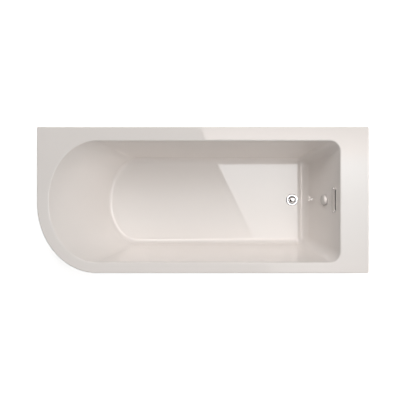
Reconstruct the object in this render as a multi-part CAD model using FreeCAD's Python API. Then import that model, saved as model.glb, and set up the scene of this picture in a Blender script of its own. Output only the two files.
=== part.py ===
# Corner bathtub, 1700 x 750 mm, with pop-up waste, overflow, cradle and panel.
# Frame: origin on the floor below the middle of the tub, +X towards the drain end,
# +Y towards the long back wall, +Z up. Millimetres.

import math
import os

import FreeCAD
import Part

Vector = FreeCAD.Vector

# Tub, outside
TUB_LENGTH = 1700.0
TUB_WIDTH = 750.0
RIM_HEIGHT = 570.0
SHELL = 5.0
LIP_DEPTH = 45.0
LIP_ROUND = 4.0
SQUARE_CORNER = 6.0
LONG_CORNER_X = 308.5
LONG_CORNER_Y = 360.0

# Rim widths around the basin
RIM_HEAD = 59.0
RIM_END = 146.0
RIM_BACK = 72.5
RIM_FRONT = 55.0
EDGE_ROUND = 9.0

# Basin: depth, how far each wall leans in on the way down, and the plan curves
BASIN_DEPTH = 405.0
HEAD_RUN = 310.0
END_RUN = 182.0
BACK_RUN = 93.5
FRONT_RUN = 98.0
HEAD_CURVE = 249.5
FLOOR_HEAD_CURVE = 144.0
RIM_CORNER = 55.0
FLOOR_CORNER = 42.0
FLOOR_FILLET = 34.0

# Backing and baseboard
BOND = 0.3
GLASS = 3.0
BOARD = 18.0
BOARD_HEAD_INSET = 450.0
BOARD_END_INSET = 455.0
BOARD_HALF_WIDTH = 150.0

# Rim battens, clear of the shell's lip and of the panel inside it
BATTEN = 18.0
BATTEN_WIDTH = 26.0
BATTEN_INSET = 13.5
DECK_BOARD_WIDTH = 90.0
BATTEN_END_GAP = 160.0

# Cradle, legs and feet
STEEL = 2.0
RAIL_INSET = 520.0
RAIL_WIDTH = 30.0
RAIL_DEPTH = 30.0
RAIL_HALF_LENGTH = 300.0
LEG_INSET = 40.0
STUD_RADIUS = 6.0
STUD_ABOVE = 26.0
NUT_ACROSS = 19.0
NUT_HEIGHT = 8.0
FOOT_RADIUS = 26.0
FOOT_HEIGHT = 16.0
FOOT_SOLE = 6.0
HAT_DROP = 48.0
HAT_WIDTH = 60.0
HAT_FLANGE = 25.0
HAT_LENGTH = 60.0

# Screws and running clearance
RUN_GAP = 0.3
FIT_GAP = 0.15
SCREW_RADIUS = 2.0
SCREW_LENGTH = 12.0
SCREW_HEAD_RADIUS = 4.5
SCREW_HEAD_HEIGHT = 2.2

# Wall brackets on the back batten
BRACKET_INSET = 350.0
BRACKET_WIDTH = 40.0
BRACKET_FLANGE = 40.0
BRACKET_DROP = 30.0
BRACKET_PLATE = 50.0
BRACKET_HOLE = 3.5

# Panel round the exposed front, corner and head
PANEL = 3.0
PANEL_LIP_GAP = 1.5
PANEL_LIFT = 8.0
PANEL_TUCK = 15.0
PANEL_RETURN = 18.0
PANEL_END_GAP = 12.0
STAY_WIDTH = 20.0
STAY_LAP = 22.0
STAY_RISE = 40.0
BOLT_RADIUS = 3.0
BOLT_HEAD_RADIUS = 5.0
BOLT_HEAD_HEIGHT = 4.0
CLIP_WIDTH = 30.0
CLIP_STEEL = 1.5
CLIP_LEG = 27.0
CLIP_CORNER_GAP = 121.5
CLIP_MIDDLE_X = 120.0
CLIP_END_INSET = 250.0
CLIP_HEAD_Y = 180.0

# Waste in the floor
WASTE_INSET = 63.0
FLANGE_RADIUS = 30.0
FLANGE_RISE = 3.5
THROAT = 20.0
SLEEVE = 23.0
SLEEVE_LENGTH = 33.0
FLOOR_HOLE = 25.0
SEAL_UPPER = 1.0
SEAL_LOWER = 3.0
PLUG_RADIUS = 17.0
PLUG_RISE = 8.0
PLUG_LIFT = 12.0
STEM_RADIUS = 4.0
SPIDER_DROP = 24.0
SPIDER_BAR = 4.0
BODY_FLANGE = 38.0
BODY_FLANGE_THICK = 5.0
CUP_RADIUS = 29.0
CUP_BORE = 25.0
CUP_DEPTH = 54.0
CUP_FLOOR = 4.0
OUTLET_RADIUS = 24.0
OUTLET_BORE = 19.0
OUTLET_LENGTH = 22.0
LEVER_ARM = 20.0
LEVER_PIN = 3.0
LEVER_TIP = 2.5
LEVER_BAR = 1.2
CRANK_ARM = 14.0
CRANK_Y = 34.0
CRANK_THICK = 4.0
EAR_REACH = 41.0
EAR_THICK = 5.0

# Trap under the waste, turned towards the back wall
TRAP_SEAL = 2.5
TRAP_RADIUS = 21.0
TRAP_BORE = 17.5
TRAP_DIP = 16.0
TRAP_BEND = 32.0
TRAP_RISE = 6.0
ELBOW_BEND = 26.0
TRAP_RUN = 20.0
SOCKET_RADIUS = 26.0
SOCKET_BORE = 20.2
SOCKET_DEPTH = 30.0
COLLAR_THICK = 4.0
PIPE_NUT_WALL = 4.0
PIPE_NUT_LENGTH = 22.0

# Overflow, knob and chamber on the end wall
SLOT_DROP = 70.0
SLOT_LENGTH = 128.0
SLOT_HEIGHT = 52.0
SLOT_ROUND = 10.0
BEZEL_THICK = 2.0
BEZEL_SIDE = 12.0
BEZEL_EDGE = 5.0
BEZEL_INLET = 13.0
BEZEL_DEPTH = 18.0
BEZEL_WALL = 2.0
KNOB_DROP = 170.0
KNOB_RADIUS = 29.0
KNOB_THICK = 18.0
KNOB_ROUND = 14.0
BUSH_RADIUS = 8.0
BUSH_FLANGE = 14.0
BUSH_FLANGE_THICK = 1.2
BUSH_NUT_RADIUS = 13.0
BUSH_NUT_THICK = 5.0
SPINDLE_RADIUS = 4.0
WINDER_RADIUS = 14.0
WINDER_THICK = 8.0
COLLAR_RADIUS = 7.0
GASKET = 2.0
GASKET_WIDTH = 10.0
CHAMBER_DEPTH = 45.0
CHAMBER_WALL = 3.0
CHAMBER_MARGIN = 8.0
CHAMBER_LOW_HALF = 46.0
CHAMBER_TAIL = 45.0

# Overflow hose and pop-up cable
HOSE_RADIUS = 16.0
HOSE_BORE = 12.5
RIB_DEPTH = 2.0
RIB_PITCH = 6.0
INLET_REACH = 70.0
SPIGOT_DROP = 30.0
HOSE_NUT_WALL = 5.0
HOSE_NUT_LENGTH = 26.0
CABLE_RADIUS = 2.5
CABLE_BEND = 90.0
GLAND_WALL = 2.0
GLAND_LENGTH = 14.0

# Levels and walls that follow from these
HALF_LENGTH = TUB_LENGTH / 2
HALF_WIDTH = TUB_WIDTH / 2
Z_FLOOR = RIM_HEIGHT - BASIN_DEPTH
Z_GLASS_UNDER = Z_FLOOR - SHELL - BOND - GLASS
Z_BOARD_TOP = Z_GLASS_UNDER - BOND
Z_BOARD_UNDER = Z_BOARD_TOP - BOARD
BOARD_HEAD_X = -HALF_LENGTH + BOARD_HEAD_INSET
BOARD_END_X = HALF_LENGTH - BOARD_END_INSET
RAIL_X = HALF_LENGTH - RAIL_INSET
LEG_Y = RAIL_HALF_LENGTH - LEG_INSET
BRACKET_X = HALF_LENGTH - BRACKET_INSET
BASIN_X0 = -HALF_LENGTH + RIM_HEAD
BASIN_X1 = HALF_LENGTH - RIM_END
WASTE_X = BASIN_X1 - END_RUN - WASTE_INSET
BASIN_Y0 = -HALF_WIDTH + RIM_FRONT
BASIN_Y1 = HALF_WIDTH - RIM_BACK
Z_RIM_UNDER = RIM_HEIGHT - SHELL
Z_BATTEN_UNDER = Z_RIM_UNDER - BATTEN
Z_RAIL_UNDER = Z_BOARD_UNDER - STEEL
PANEL_OUTER = SHELL + PANEL_LIP_GAP
PANEL_INNER = PANEL_OUTER + PANEL
UP = Vector(0, 0, 1)
DOWN = Vector(0, 0, -1)

# End wall: its lean, and the frame of what is fixed to it. In that frame x runs along the wall,
# y up the wall and z into the basin, from the middle of the wall's top edge.
END_LEAN = math.atan2(END_RUN, BASIN_DEPTH)
WALL_UP = Vector(math.sin(END_LEAN), 0, math.cos(END_LEAN))
WALL_IN = Vector(-math.cos(END_LEAN), 0, math.sin(END_LEAN))
WALL_TOP = Vector(BASIN_X1, 0, RIM_HEIGHT)
WALL_FRAME = FreeCAD.Placement(FreeCAD.Matrix(
    0, WALL_UP.x, WALL_IN.x, WALL_TOP.x,
    -1, WALL_UP.y, WALL_IN.y, WALL_TOP.y,
    0, WALL_UP.z, WALL_IN.z, WALL_TOP.z,
    0, 0, 0, 1,
))
SLOT_Y = -SLOT_DROP / math.cos(END_LEAN)
KNOB_Y = -KNOB_DROP / math.cos(END_LEAN)
WALL_BACK = -(SHELL + BOND + GLASS)


def box(x0, x1, y0, y1, z0, z1):
    """Block between two corners."""
    return Part.makeBox(x1 - x0, y1 - y0, z1 - z0, Vector(x0, y0, z0))


def rod(radius, start, end):
    """Round bar from one point to another."""
    along = end.sub(start)
    return Part.makeCylinder(radius, along.Length, start, along)


def tube(outer, inner, start, end):
    """Round bar with a bore."""
    return rod(outer, start, end).cut(rod(inner, start, end))


def extruded(points, along):
    """Prism over a closed polygon."""
    return Part.Face(Part.makePolygon(points + points[:1])).extrude(along)


def turned(profile, x, y):
    """Solid of revolution about the upright line at x, y. The profile is (radius, z) points."""
    points = [Vector(x + r, y, z) for r, z in profile]
    face = Part.Face(Part.makePolygon(points + points[:1]))
    return face.revolve(Vector(x, y, 0), Vector(0, 0, 1), 360)


def swept(radius, path):
    """Round bar along a path of tangent lines and arcs."""
    start = path[0].firstVertex().Point
    along = path[0].tangentAt(path[0].FirstParameter)
    section = Part.Wire(Part.makeCircle(radius, start, along))
    return Part.Wire(path).makePipeShell([section], True, False)


def quarter(start, corner, end):
    """Exact quarter ellipse that leaves one side of a square corner and meets the other."""
    curve = Part.BezierCurve()
    curve.setPoles([start, corner, end])
    curve.setWeight(2, math.sqrt(0.5))
    return curve.toShape()


def rounded_plan(x0, x1, y0, y1, rounds, z):
    """Closed outline at height z. The rounds are the (x, y) half axes of its four corners:
    front left, front right, back right, back left."""
    square = [Vector(x0, y0, z), Vector(x1, y0, z), Vector(x1, y1, z), Vector(x0, y1, z)]
    inward = [(1, 1), (-1, 1), (-1, -1), (1, -1)]
    edges = []
    last = None
    for number in range(4):
        corner = square[number]
        half_x, half_y = rounds[number]
        side_x = corner.add(Vector(inward[number][0] * half_x, 0, 0))
        side_y = corner.add(Vector(0, inward[number][1] * half_y, 0))
        first, second = (side_y, side_x) if number % 2 == 0 else (side_x, side_y)
        if last is not None and last.distanceToPoint(first) > 1e-6:
            edges.append(Part.makeLine(last, first))
        if half_x > 0:
            edges.append(quarter(first, corner, second))
        last = second
    opening = edges[0].firstVertex().Point
    if last.distanceToPoint(opening) > 1e-6:
        edges.append(Part.makeLine(last, opening))
    return Part.Wire(edges)


def rim_plan(inset, z):
    """The tub's outside outline, moved inwards."""
    small = max(SQUARE_CORNER - inset, 0.5)
    rounds = [(LONG_CORNER_X - inset, LONG_CORNER_Y - inset)] + [(small, small)] * 3
    return rounded_plan(
        -HALF_LENGTH + inset, HALF_LENGTH - inset, -HALF_WIDTH + inset, HALF_WIDTH - inset, rounds, z
    )


def rim_block(inset, z0, z1):
    """Block with the tub's outside outline."""
    return Part.Face(rim_plan(inset, z0)).extrude(Vector(0, 0, z1 - z0))


def basin_space(offset):
    """Solid that fills the basin up to the rim, grown by an offset square to its walls."""
    spread = {run: offset * math.hypot(1, run / BASIN_DEPTH) for run in
              (HEAD_RUN, END_RUN, BACK_RUN, FRONT_RUN)}
    lean = {run: run * (1 + offset / BASIN_DEPTH) for run in spread}
    x0 = BASIN_X0 - spread[HEAD_RUN]
    x1 = BASIN_X1 + spread[END_RUN]
    y0 = BASIN_Y0 - spread[FRONT_RUN]
    y1 = BASIN_Y1 + spread[BACK_RUN]
    low_x0 = x0 + lean[HEAD_RUN]
    low_x1 = x1 - lean[END_RUN]
    low_y0 = y0 + lean[FRONT_RUN]
    low_y1 = y1 - lean[BACK_RUN]
    bottom = Z_FLOOR - offset
    head = (HEAD_CURVE + spread[HEAD_RUN], (y1 - y0) / 2)
    low_head = (FLOOR_HEAD_CURVE + spread[HEAD_RUN], (low_y1 - low_y0) / 2)
    drain = (RIM_CORNER + offset, RIM_CORNER + offset)
    low_drain = (FLOOR_CORNER + offset, FLOOR_CORNER + offset)
    rounds = [head, drain, drain, head]
    low_rounds = [low_head, low_drain, low_drain, low_head]
    top_plan = rounded_plan(x0, x1, y0, y1, rounds, RIM_HEIGHT)
    low_plan = rounded_plan(low_x0, low_x1, low_y0, low_y1, low_rounds, bottom)
    space = Part.makeLoft([low_plan, top_plan], True, True)
    rounded = [edge for edge in space.Edges if edge.BoundBox.ZMax < bottom + 0.01]
    return space.makeFillet(FLOOR_FILLET + offset, rounded)


def on_wall(shape):
    """Place a shape that was built in the end wall's frame."""
    shape.Placement = WALL_FRAME.multiply(shape.Placement)
    return shape


def screw(seat, into, length=SCREW_LENGTH):
    """Pan-head screw whose head bears on a seat."""
    shank = rod(SCREW_RADIUS, seat, seat + into * length)
    head = rod(SCREW_HEAD_RADIUS, seat - into * SCREW_HEAD_HEIGHT, seat)
    return shank.fuse(head).removeSplitter()


def screw_hole(seat, into):
    """Clearance for a screw's shank, through what its head bears on and what it bites."""
    return rod(SCREW_RADIUS + RUN_GAP, seat, seat + into * (SCREW_LENGTH + 2 * RUN_GAP))


def hex_nut(x, y, z):
    """Nut for a leg stud, with its lower face at z."""
    corner = NUT_ACROSS / math.sqrt(3)
    turns = [math.radians(60 * number) for number in range(6)]
    points = [Vector(x + corner * math.cos(turn), y + corner * math.sin(turn), z) for turn in turns]
    bore = rod(STUD_RADIUS + RUN_GAP, Vector(x, y, z), Vector(x, y, z + NUT_HEIGHT))
    return extruded(points, Vector(0, 0, NUT_HEIGHT)).cut(bore)


def rounded_block(length, height, radius, y, z0, z1):
    """Block with rounded ends in the end wall's frame, centred on height y of the wall."""
    rounds = [(radius, radius)] * 4
    plan = rounded_plan(-length / 2, length / 2, y - height / 2, y + height / 2, rounds, z0)
    return Part.Face(plan).extrude(Vector(0, 0, z1 - z0))


def save(name, shape):
    """Write one piece, or one group of like pieces, under its node name."""
    shape.exportStep("parts/" + name + ".step")


os.makedirs("parts", exist_ok=True)

# Openings that the fittings need through the shell and its backing
SLOT_OPEN_LENGTH = SLOT_LENGTH - 2 * BEZEL_SIDE
SLOT_OPEN_HEIGHT = SLOT_HEIGHT - 2 * BEZEL_EDGE
BEZEL_SCREW_X = (SLOT_LENGTH / 2 + SLOT_OPEN_LENGTH / 2 + BEZEL_WALL) / 2


def fitting_holes(gap):
    """Holes for the waste, the bezel with its screws and the knob's bush, each with a gap round it."""
    through = WALL_BACK - GASKET
    waste = rod(FLOOR_HOLE + gap, Vector(WASTE_X, 0, Z_GLASS_UNDER - 1), Vector(WASTE_X, 0, Z_FLOOR + 1))
    slot_length = 2 * (BEZEL_SCREW_X + SCREW_RADIUS + RUN_GAP + gap)
    slot_height = SLOT_OPEN_HEIGHT + 2 * (BEZEL_WALL + gap)
    slot = rounded_block(slot_length, slot_height, SLOT_ROUND, SLOT_Y, through, BEZEL_THICK)
    bush = rod(BUSH_RADIUS + gap, Vector(0, KNOB_Y, through), Vector(0, KNOB_Y, BEZEL_THICK))
    return [waste, on_wall(slot), on_wall(bush)]


def tub_shell():
    """Acrylic sheet drawn into one piece: rim, down-turned lip, walls and floor."""
    lip = rim_block(0, RIM_HEIGHT - LIP_DEPTH, RIM_HEIGHT)
    under_rim = rim_block(SHELL, RIM_HEIGHT - LIP_DEPTH, Z_RIM_UNDER)
    shell = lip.cut(under_rim).fuse(basin_space(SHELL)).cut(basin_space(0)).removeSplitter()
    outside = rim_plan(0, RIM_HEIGHT)
    for on_lip, radius in ((False, EDGE_ROUND), (True, LIP_ROUND)):
        top = [edge for edge in shell.Edges if edge.BoundBox.ZMin > RIM_HEIGHT - 0.01]
        chosen = [edge for edge in top if (edge.distToShape(outside)[0] < 0.01) == on_lip]
        chosen = [edge for edge in chosen if on_lip or edge.distToShape(outside)[0] > LIP_ROUND]
        shell = shell.makeFillet(radius, chosen)
    for hole in fitting_holes(RUN_GAP):
        shell = shell.cut(hole)
    return shell


def fibreglass_backing():
    """Glass-fibre laminate rolled on behind the basin, up to the rim battens."""
    inner = SHELL + BOND
    laminate = basin_space(inner + GLASS).cut(basin_space(inner))
    above = box(-HALF_LENGTH, HALF_LENGTH, -HALF_WIDTH, HALF_WIDTH, Z_BATTEN_UNDER - STEEL, RIM_HEIGHT)
    laminate = laminate.cut(above)
    for hole in fitting_holes(2 * RUN_GAP):
        laminate = laminate.cut(hole)
    return laminate


RAILS = {"head": -RAIL_X, "drain": RAIL_X}
RAIL_SCREW_Y = BOARD_HALF_WIDTH / 2
HAT_HALF = HAT_WIDTH / 2
HAT_SCREW_X = HAT_HALF + HAT_FLANGE / 2
HAT_SCREW_Y = HAT_LENGTH / 4
LEGS = {
    "head_front": (-RAIL_X, -LEG_Y, Z_BOARD_UNDER),
    "head_back": (-RAIL_X, LEG_Y, Z_BOARD_UNDER),
    "drain_front": (RAIL_X, -LEG_Y, Z_BOARD_UNDER),
    "drain_back": (RAIL_X, LEG_Y, Z_BOARD_UNDER),
    "centre": (0.0, 0.0, Z_BOARD_UNDER - HAT_DROP),
}
CRADLE_SEATS = [Vector(x, y, Z_RAIL_UNDER) for x in RAILS.values() for y in (-RAIL_SCREW_Y, RAIL_SCREW_Y)]
CRADLE_SEATS += [Vector(x, y, Z_RAIL_UNDER) for x in (-HAT_SCREW_X, HAT_SCREW_X)
                 for y in (-HAT_SCREW_Y, HAT_SCREW_Y)]
CRADLE_HOLES = [screw_hole(seat, UP) for seat in CRADLE_SEATS]


def stud_hole(x, y, z):
    """Clearance for a leg stud through a steel plate whose top is at z."""
    return rod(STUD_RADIUS + RUN_GAP, Vector(x, y, z - STEEL), Vector(x, y, z))


STAY_BOLT_Y = -RAIL_HALF_LENGTH + STAY_LAP / 2


def cradle_rail(x):
    """Steel channel, open downwards, across the underside of the baseboard."""
    half = RAIL_WIDTH / 2
    reach = RAIL_HALF_LENGTH
    low = Z_BOARD_UNDER - RAIL_DEPTH
    outer = box(x - half, x + half, -reach, reach, low, Z_BOARD_UNDER)
    inner = box(x - half + STEEL, x + half - STEEL, -reach, reach, low, Z_RAIL_UNDER)
    holes = CRADLE_HOLES + [stud_hole(x, y, Z_BOARD_UNDER) for y in (-LEG_Y, LEG_Y)]
    bolt = Vector(x, STAY_BOLT_Y, Z_RAIL_UNDER)
    holes.append(rod(BOLT_RADIUS + RUN_GAP, bolt, bolt + UP * STEEL))
    return outer.cut(inner).cut(holes)


def centre_leg_bracket():
    """Steel top-hat bracket, hung upside down under the middle of the baseboard."""
    half_y = HAT_LENGTH / 2
    low = Z_BOARD_UNDER - HAT_DROP
    flange = box(-HAT_HALF - HAT_FLANGE, HAT_HALF + HAT_FLANGE, -half_y, half_y, Z_RAIL_UNDER, Z_BOARD_UNDER)
    trough = box(-HAT_HALF, HAT_HALF, -half_y, half_y, low - STEEL, Z_BOARD_UNDER)
    inside = box(-HAT_HALF + STEEL, HAT_HALF - STEEL, -half_y, half_y, low, Z_BOARD_UNDER)
    return flange.fuse(trough).cut(inside).removeSplitter().cut(CRADLE_HOLES + [stud_hole(0, 0, low)])


def leg_stud(x, y, z):
    """Threaded rod of one leg, from the foot's socket to above its plate."""
    return rod(STUD_RADIUS, Vector(x, y, FOOT_SOLE), Vector(x, y, z + STUD_ABOVE))


def foot_pad(x, y):
    """Moulded foot with a blind socket for the stud and a bevelled top."""
    bevel = FOOT_HEIGHT - FOOT_SOLE
    neck = STUD_RADIUS + bevel / 2
    profile = [(0, 0), (FOOT_RADIUS, 0), (FOOT_RADIUS, FOOT_SOLE), (neck, FOOT_HEIGHT), (0, FOOT_HEIGHT)]
    socket = rod(STUD_RADIUS, Vector(x, y, FOOT_SOLE), Vector(x, y, FOOT_HEIGHT))
    return turned(profile, x, y).cut(socket)


save("tub_shell", tub_shell())
save("fibreglass_backing", fibreglass_backing())
board = box(BOARD_HEAD_X, BOARD_END_X, -BOARD_HALF_WIDTH, BOARD_HALF_WIDTH, Z_BOARD_UNDER, Z_BOARD_TOP)
save("baseboard", board.cut(CRADLE_HOLES))
for place, rail_x in RAILS.items():
    save("cradle_rail_" + place, cradle_rail(rail_x))
save("centre_leg_bracket", centre_leg_bracket())
save("cradle_screws", Part.makeCompound([screw(seat, UP) for seat in CRADLE_SEATS]))
leg_nuts = []
for place, (leg_x, leg_y, plate_z) in LEGS.items():
    save("leg_stud_" + place, leg_stud(leg_x, leg_y, plate_z))
    save("foot_pad_" + place, foot_pad(leg_x, leg_y))
    leg_nuts += [hex_nut(leg_x, leg_y, plate_z), hex_nut(leg_x, leg_y, plate_z - STEEL - NUT_HEIGHT)]
save("leg_nuts", Part.makeCompound(leg_nuts))

# Battens glued under the rim, as (x0, x1, y0, y1)
BATTEN_OUT_X = HALF_LENGTH - BATTEN_INSET
BATTEN_OUT_Y = HALF_WIDTH - BATTEN_INSET
BATTEN_IN_Y = BATTEN_OUT_Y - BATTEN_WIDTH
BATTEN_FAR_X = HALF_LENGTH - BATTEN_END_GAP
BATTENS = {
    "back": (-BATTEN_FAR_X, BATTEN_FAR_X, BATTEN_IN_Y, BATTEN_OUT_Y),
    "front": (-HALF_LENGTH + LONG_CORNER_X, BATTEN_FAR_X, -BATTEN_OUT_Y, -BATTEN_IN_Y),
    "head": (-BATTEN_OUT_X, -BATTEN_OUT_X + BATTEN_WIDTH, -HALF_WIDTH + LONG_CORNER_Y, BATTEN_IN_Y),
    "end": (BATTEN_OUT_X - DECK_BOARD_WIDTH, BATTEN_OUT_X, -BATTEN_OUT_Y, BATTEN_OUT_Y),
}
BATTEN_MID_Y = (BATTEN_OUT_Y + BATTEN_IN_Y) / 2
BATTEN_MID_X = BATTEN_OUT_X - BATTEN_WIDTH / 2

# Screws that bite the battens from below: one for each wall bracket and each panel clip
BRACKETS = (-BRACKET_X, BRACKET_X)
BRACKET_SEATS = [Vector(x, BATTEN_MID_Y, Z_BATTEN_UNDER - STEEL) for x in BRACKETS]
CLIP_Z = Z_BATTEN_UNDER - CLIP_STEEL
CLIP_FRONT_X = (BATTENS["front"][0] + CLIP_CORNER_GAP, CLIP_MIDDLE_X, HALF_LENGTH - CLIP_END_INSET)
CLIP_SEATS = [Vector(x, -BATTEN_MID_Y, CLIP_Z) for x in CLIP_FRONT_X]
CLIP_SEATS.append(Vector(-BATTEN_MID_X, CLIP_HEAD_Y, CLIP_Z))
BATTEN_HOLES = [screw_hole(seat, UP) for seat in BRACKET_SEATS + CLIP_SEATS]


def wall_bracket(x):
    """Folded steel strip: flange under the back batten, step below the lip, plate on the wall."""
    top = Z_BATTEN_UNDER
    step = top - BRACKET_DROP
    inner = BATTEN_OUT_Y + STEEL
    outline = [
        (inner - BRACKET_FLANGE, top), (inner, top), (inner, step), (HALF_WIDTH, step),
        (HALF_WIDTH, step - BRACKET_PLATE), (HALF_WIDTH - STEEL, step - BRACKET_PLATE),
        (HALF_WIDTH - STEEL, step - STEEL), (inner - STEEL, step - STEEL), (inner - STEEL, top - STEEL),
        (inner - BRACKET_FLANGE, top - STEEL),
    ]
    start = x - BRACKET_WIDTH / 2
    strip = extruded([Vector(start, y, z) for y, z in outline], Vector(BRACKET_WIDTH, 0, 0))
    middle = step - (BRACKET_PLATE + STEEL) / 2
    hole = rod(BRACKET_HOLE, Vector(x, HALF_WIDTH - STEEL, middle), Vector(x, HALF_WIDTH, middle))
    return strip.cut([hole] + BATTEN_HOLES)


STAY_LEG_Y = -HALF_WIDTH + PANEL_INNER
STAY_UNDER = Z_RAIL_UNDER - STEEL
PANEL_SCREW_Z = STAY_UNDER + STAY_RISE / 2
OUTWARD_FRONT = Vector(0, -1, 0)
PANEL_SEATS = [Vector(x, -HALF_WIDTH + PANEL_OUTER, PANEL_SCREW_Z) for x in RAILS.values()]
PANEL_HOLES = [screw_hole(seat, -OUTWARD_FRONT) for seat in PANEL_SEATS]


def front_panel():
    """Vacuum-formed panel in one piece, tucked behind the lip, with a return along the floor."""
    top = RIM_HEIGHT - LIP_DEPTH + PANEL_TUCK
    wall = rim_block(PANEL_OUTER, PANEL_LIFT, top).cut(rim_block(PANEL_INNER, PANEL_LIFT, top))
    foot = rim_block(PANEL_OUTER, PANEL_LIFT, PANEL_LIFT + PANEL)
    foot = foot.cut(rim_block(PANEL_OUTER + PANEL_RETURN, PANEL_LIFT, PANEL_LIFT + PANEL))
    back_side = HALF_WIDTH - PANEL_END_GAP - PANEL_RETURN
    end_side = HALF_LENGTH - PANEL_END_GAP - PANEL_RETURN
    open_back = box(-HALF_LENGTH, HALF_LENGTH, back_side, HALF_WIDTH, 0, RIM_HEIGHT)
    open_end = box(end_side, HALF_LENGTH, -HALF_WIDTH, HALF_WIDTH, 0, RIM_HEIGHT)
    return wall.fuse(foot).removeSplitter().cut([open_back, open_end] + PANEL_HOLES)


def panel_stay(x):
    """Steel angle bolted under a rail's front end, with an upright leg behind the panel."""
    half = STAY_WIDTH / 2
    start = -RAIL_HALF_LENGTH + STAY_LAP
    arm = box(x - half, x + half, STAY_LEG_Y, start, STAY_UNDER, Z_RAIL_UNDER)
    leg = box(x - half, x + half, STAY_LEG_Y, STAY_LEG_Y + STEEL, STAY_UNDER, STAY_UNDER + STAY_RISE)
    bolt = Vector(x, STAY_BOLT_Y, STAY_UNDER)
    hole = rod(BOLT_RADIUS + RUN_GAP, bolt, bolt + UP * STEEL)
    return arm.fuse(leg).removeSplitter().cut([hole] + PANEL_HOLES)


def stay_bolt(x):
    """Bolt through a rail and a stay, with its head above and its nut below."""
    low = Vector(x, STAY_BOLT_Y, STAY_UNDER)
    high = Vector(x, STAY_BOLT_Y, Z_BOARD_UNDER)
    shank = rod(BOLT_RADIUS, low, high)
    head = rod(BOLT_HEAD_RADIUS, high, high + UP * BOLT_HEAD_HEIGHT)
    nut = rod(BOLT_HEAD_RADIUS, low + DOWN * BOLT_HEAD_HEIGHT, low)
    return shank.fuse([head, nut]).removeSplitter()


def panel_clip(seat, outward):
    """Steel angle under a batten whose leg stands behind the panel's top edge."""
    on_front = abs(outward.y) > 0.5
    reach = (HALF_WIDTH if on_front else HALF_LENGTH) - PANEL_INNER - RUN_GAP
    middle = Vector(seat.x, 0, 0) if on_front else Vector(0, seat.y, 0)
    edge = middle + outward * reach
    back = middle + outward * (reach - BATTEN_WIDTH - BATTEN_INSET + PANEL_INNER)
    side = Vector(1, 0, 0) if on_front else Vector(0, 1, 0)

    def plate(start, end, z0, z1):
        corners = [start - side * (CLIP_WIDTH / 2), start + side * (CLIP_WIDTH / 2),
                   end + side * (CLIP_WIDTH / 2), end - side * (CLIP_WIDTH / 2)]
        return extruded([Vector(p.x, p.y, z0) for p in corners], Vector(0, 0, z1 - z0))

    flange = plate(back, edge, CLIP_Z, Z_BATTEN_UNDER)
    leg = plate(edge - outward * CLIP_STEEL, edge, Z_BATTEN_UNDER - CLIP_LEG, Z_BATTEN_UNDER)
    return flange.fuse(leg).removeSplitter().cut(BATTEN_HOLES)


for place, (x0, x1, y0, y1) in BATTENS.items():
    batten = box(x0, x1, y0, y1, Z_BATTEN_UNDER, Z_RIM_UNDER)
    save("rim_batten_" + place, batten.cut(BATTEN_HOLES))
save("wall_brackets", Part.makeCompound([wall_bracket(x) for x in BRACKETS]))
save("wall_bracket_screws", Part.makeCompound([screw(seat, UP) for seat in BRACKET_SEATS]))
save("front_panel", front_panel())
save("panel_stays", Part.makeCompound([panel_stay(x) for x in RAILS.values()]))
save("stay_bolts", Part.makeCompound([stay_bolt(x) for x in RAILS.values()]))
save("panel_screws", Part.makeCompound([screw(seat, -OUTWARD_FRONT) for seat in PANEL_SEATS]))
clips = [panel_clip(seat, OUTWARD_FRONT) for seat in CLIP_SEATS[:-1]]
clips.append(panel_clip(CLIP_SEATS[-1], Vector(-1, 0, 0)))
save("panel_clips", Part.makeCompound(clips))
save("clip_screws", Part.makeCompound([screw(seat, UP) for seat in CLIP_SEATS]))

# Heights and places of the waste, its body and the lever
Z_SEAT = Z_FLOOR + SEAL_UPPER
Z_SLEEVE_END = Z_SEAT - SLEEVE_LENGTH
Z_BODY = Z_GLASS_UNDER - SEAL_LOWER
Z_CUP = Z_BODY - CUP_DEPTH
Z_OUTLET = Z_CUP - OUTLET_LENGTH
Z_INLET = Z_CUP + CUP_FLOOR + HOSE_BORE + FIT_GAP
INLET_END_X = WASTE_X + INLET_REACH
EAR_X = WASTE_X + EAR_REACH
PIVOT = Vector(WASTE_X + LEVER_ARM, 0, Z_INLET)
LEVER_HALF_TURN = math.degrees(math.asin(PLUG_LIFT / 2 / LEVER_ARM))
Z_STEM_END = Z_INLET - PLUG_LIFT / 2 + LEVER_TIP + RUN_GAP
Z_CABLE = Z_INLET + CRANK_ARM


def waste_axis(z):
    """Point on the waste's upright axis."""
    return Vector(WASTE_X, 0, z)


def waste_flange():
    """Chromed brass flange with a dished throat, a threaded sleeve and a guide spider."""
    crown = Z_SEAT + FLANGE_RISE
    dish = (FLANGE_RADIUS - THROAT) / 3
    profile = [
        (THROAT, Z_SLEEVE_END), (SLEEVE, Z_SLEEVE_END), (SLEEVE, Z_SEAT), (FLANGE_RADIUS, Z_SEAT),
        (FLANGE_RADIUS, Z_SEAT + FLANGE_RISE / 3), (FLANGE_RADIUS - dish, crown), (THROAT + dish, crown),
        (THROAT, Z_SEAT),
    ]
    low = Z_SEAT - SPIDER_DROP
    half = SPIDER_BAR / 2
    reach = (THROAT + SLEEVE) / 2
    spider = box(WASTE_X - reach, WASTE_X + reach, -half, half, low, low + SPIDER_BAR)
    spider = spider.fuse(box(WASTE_X - half, WASTE_X + half, -reach, reach, low, low + SPIDER_BAR))
    spider = spider.fuse(rod(STEM_RADIUS + SPIDER_BAR, waste_axis(low), waste_axis(low + 2 * SPIDER_BAR)))
    guide = rod(STEM_RADIUS + RUN_GAP, waste_axis(low), waste_axis(low + 2 * SPIDER_BAR))
    return turned(profile, WASTE_X, 0).fuse(spider).removeSplitter().cut(guide)


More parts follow.
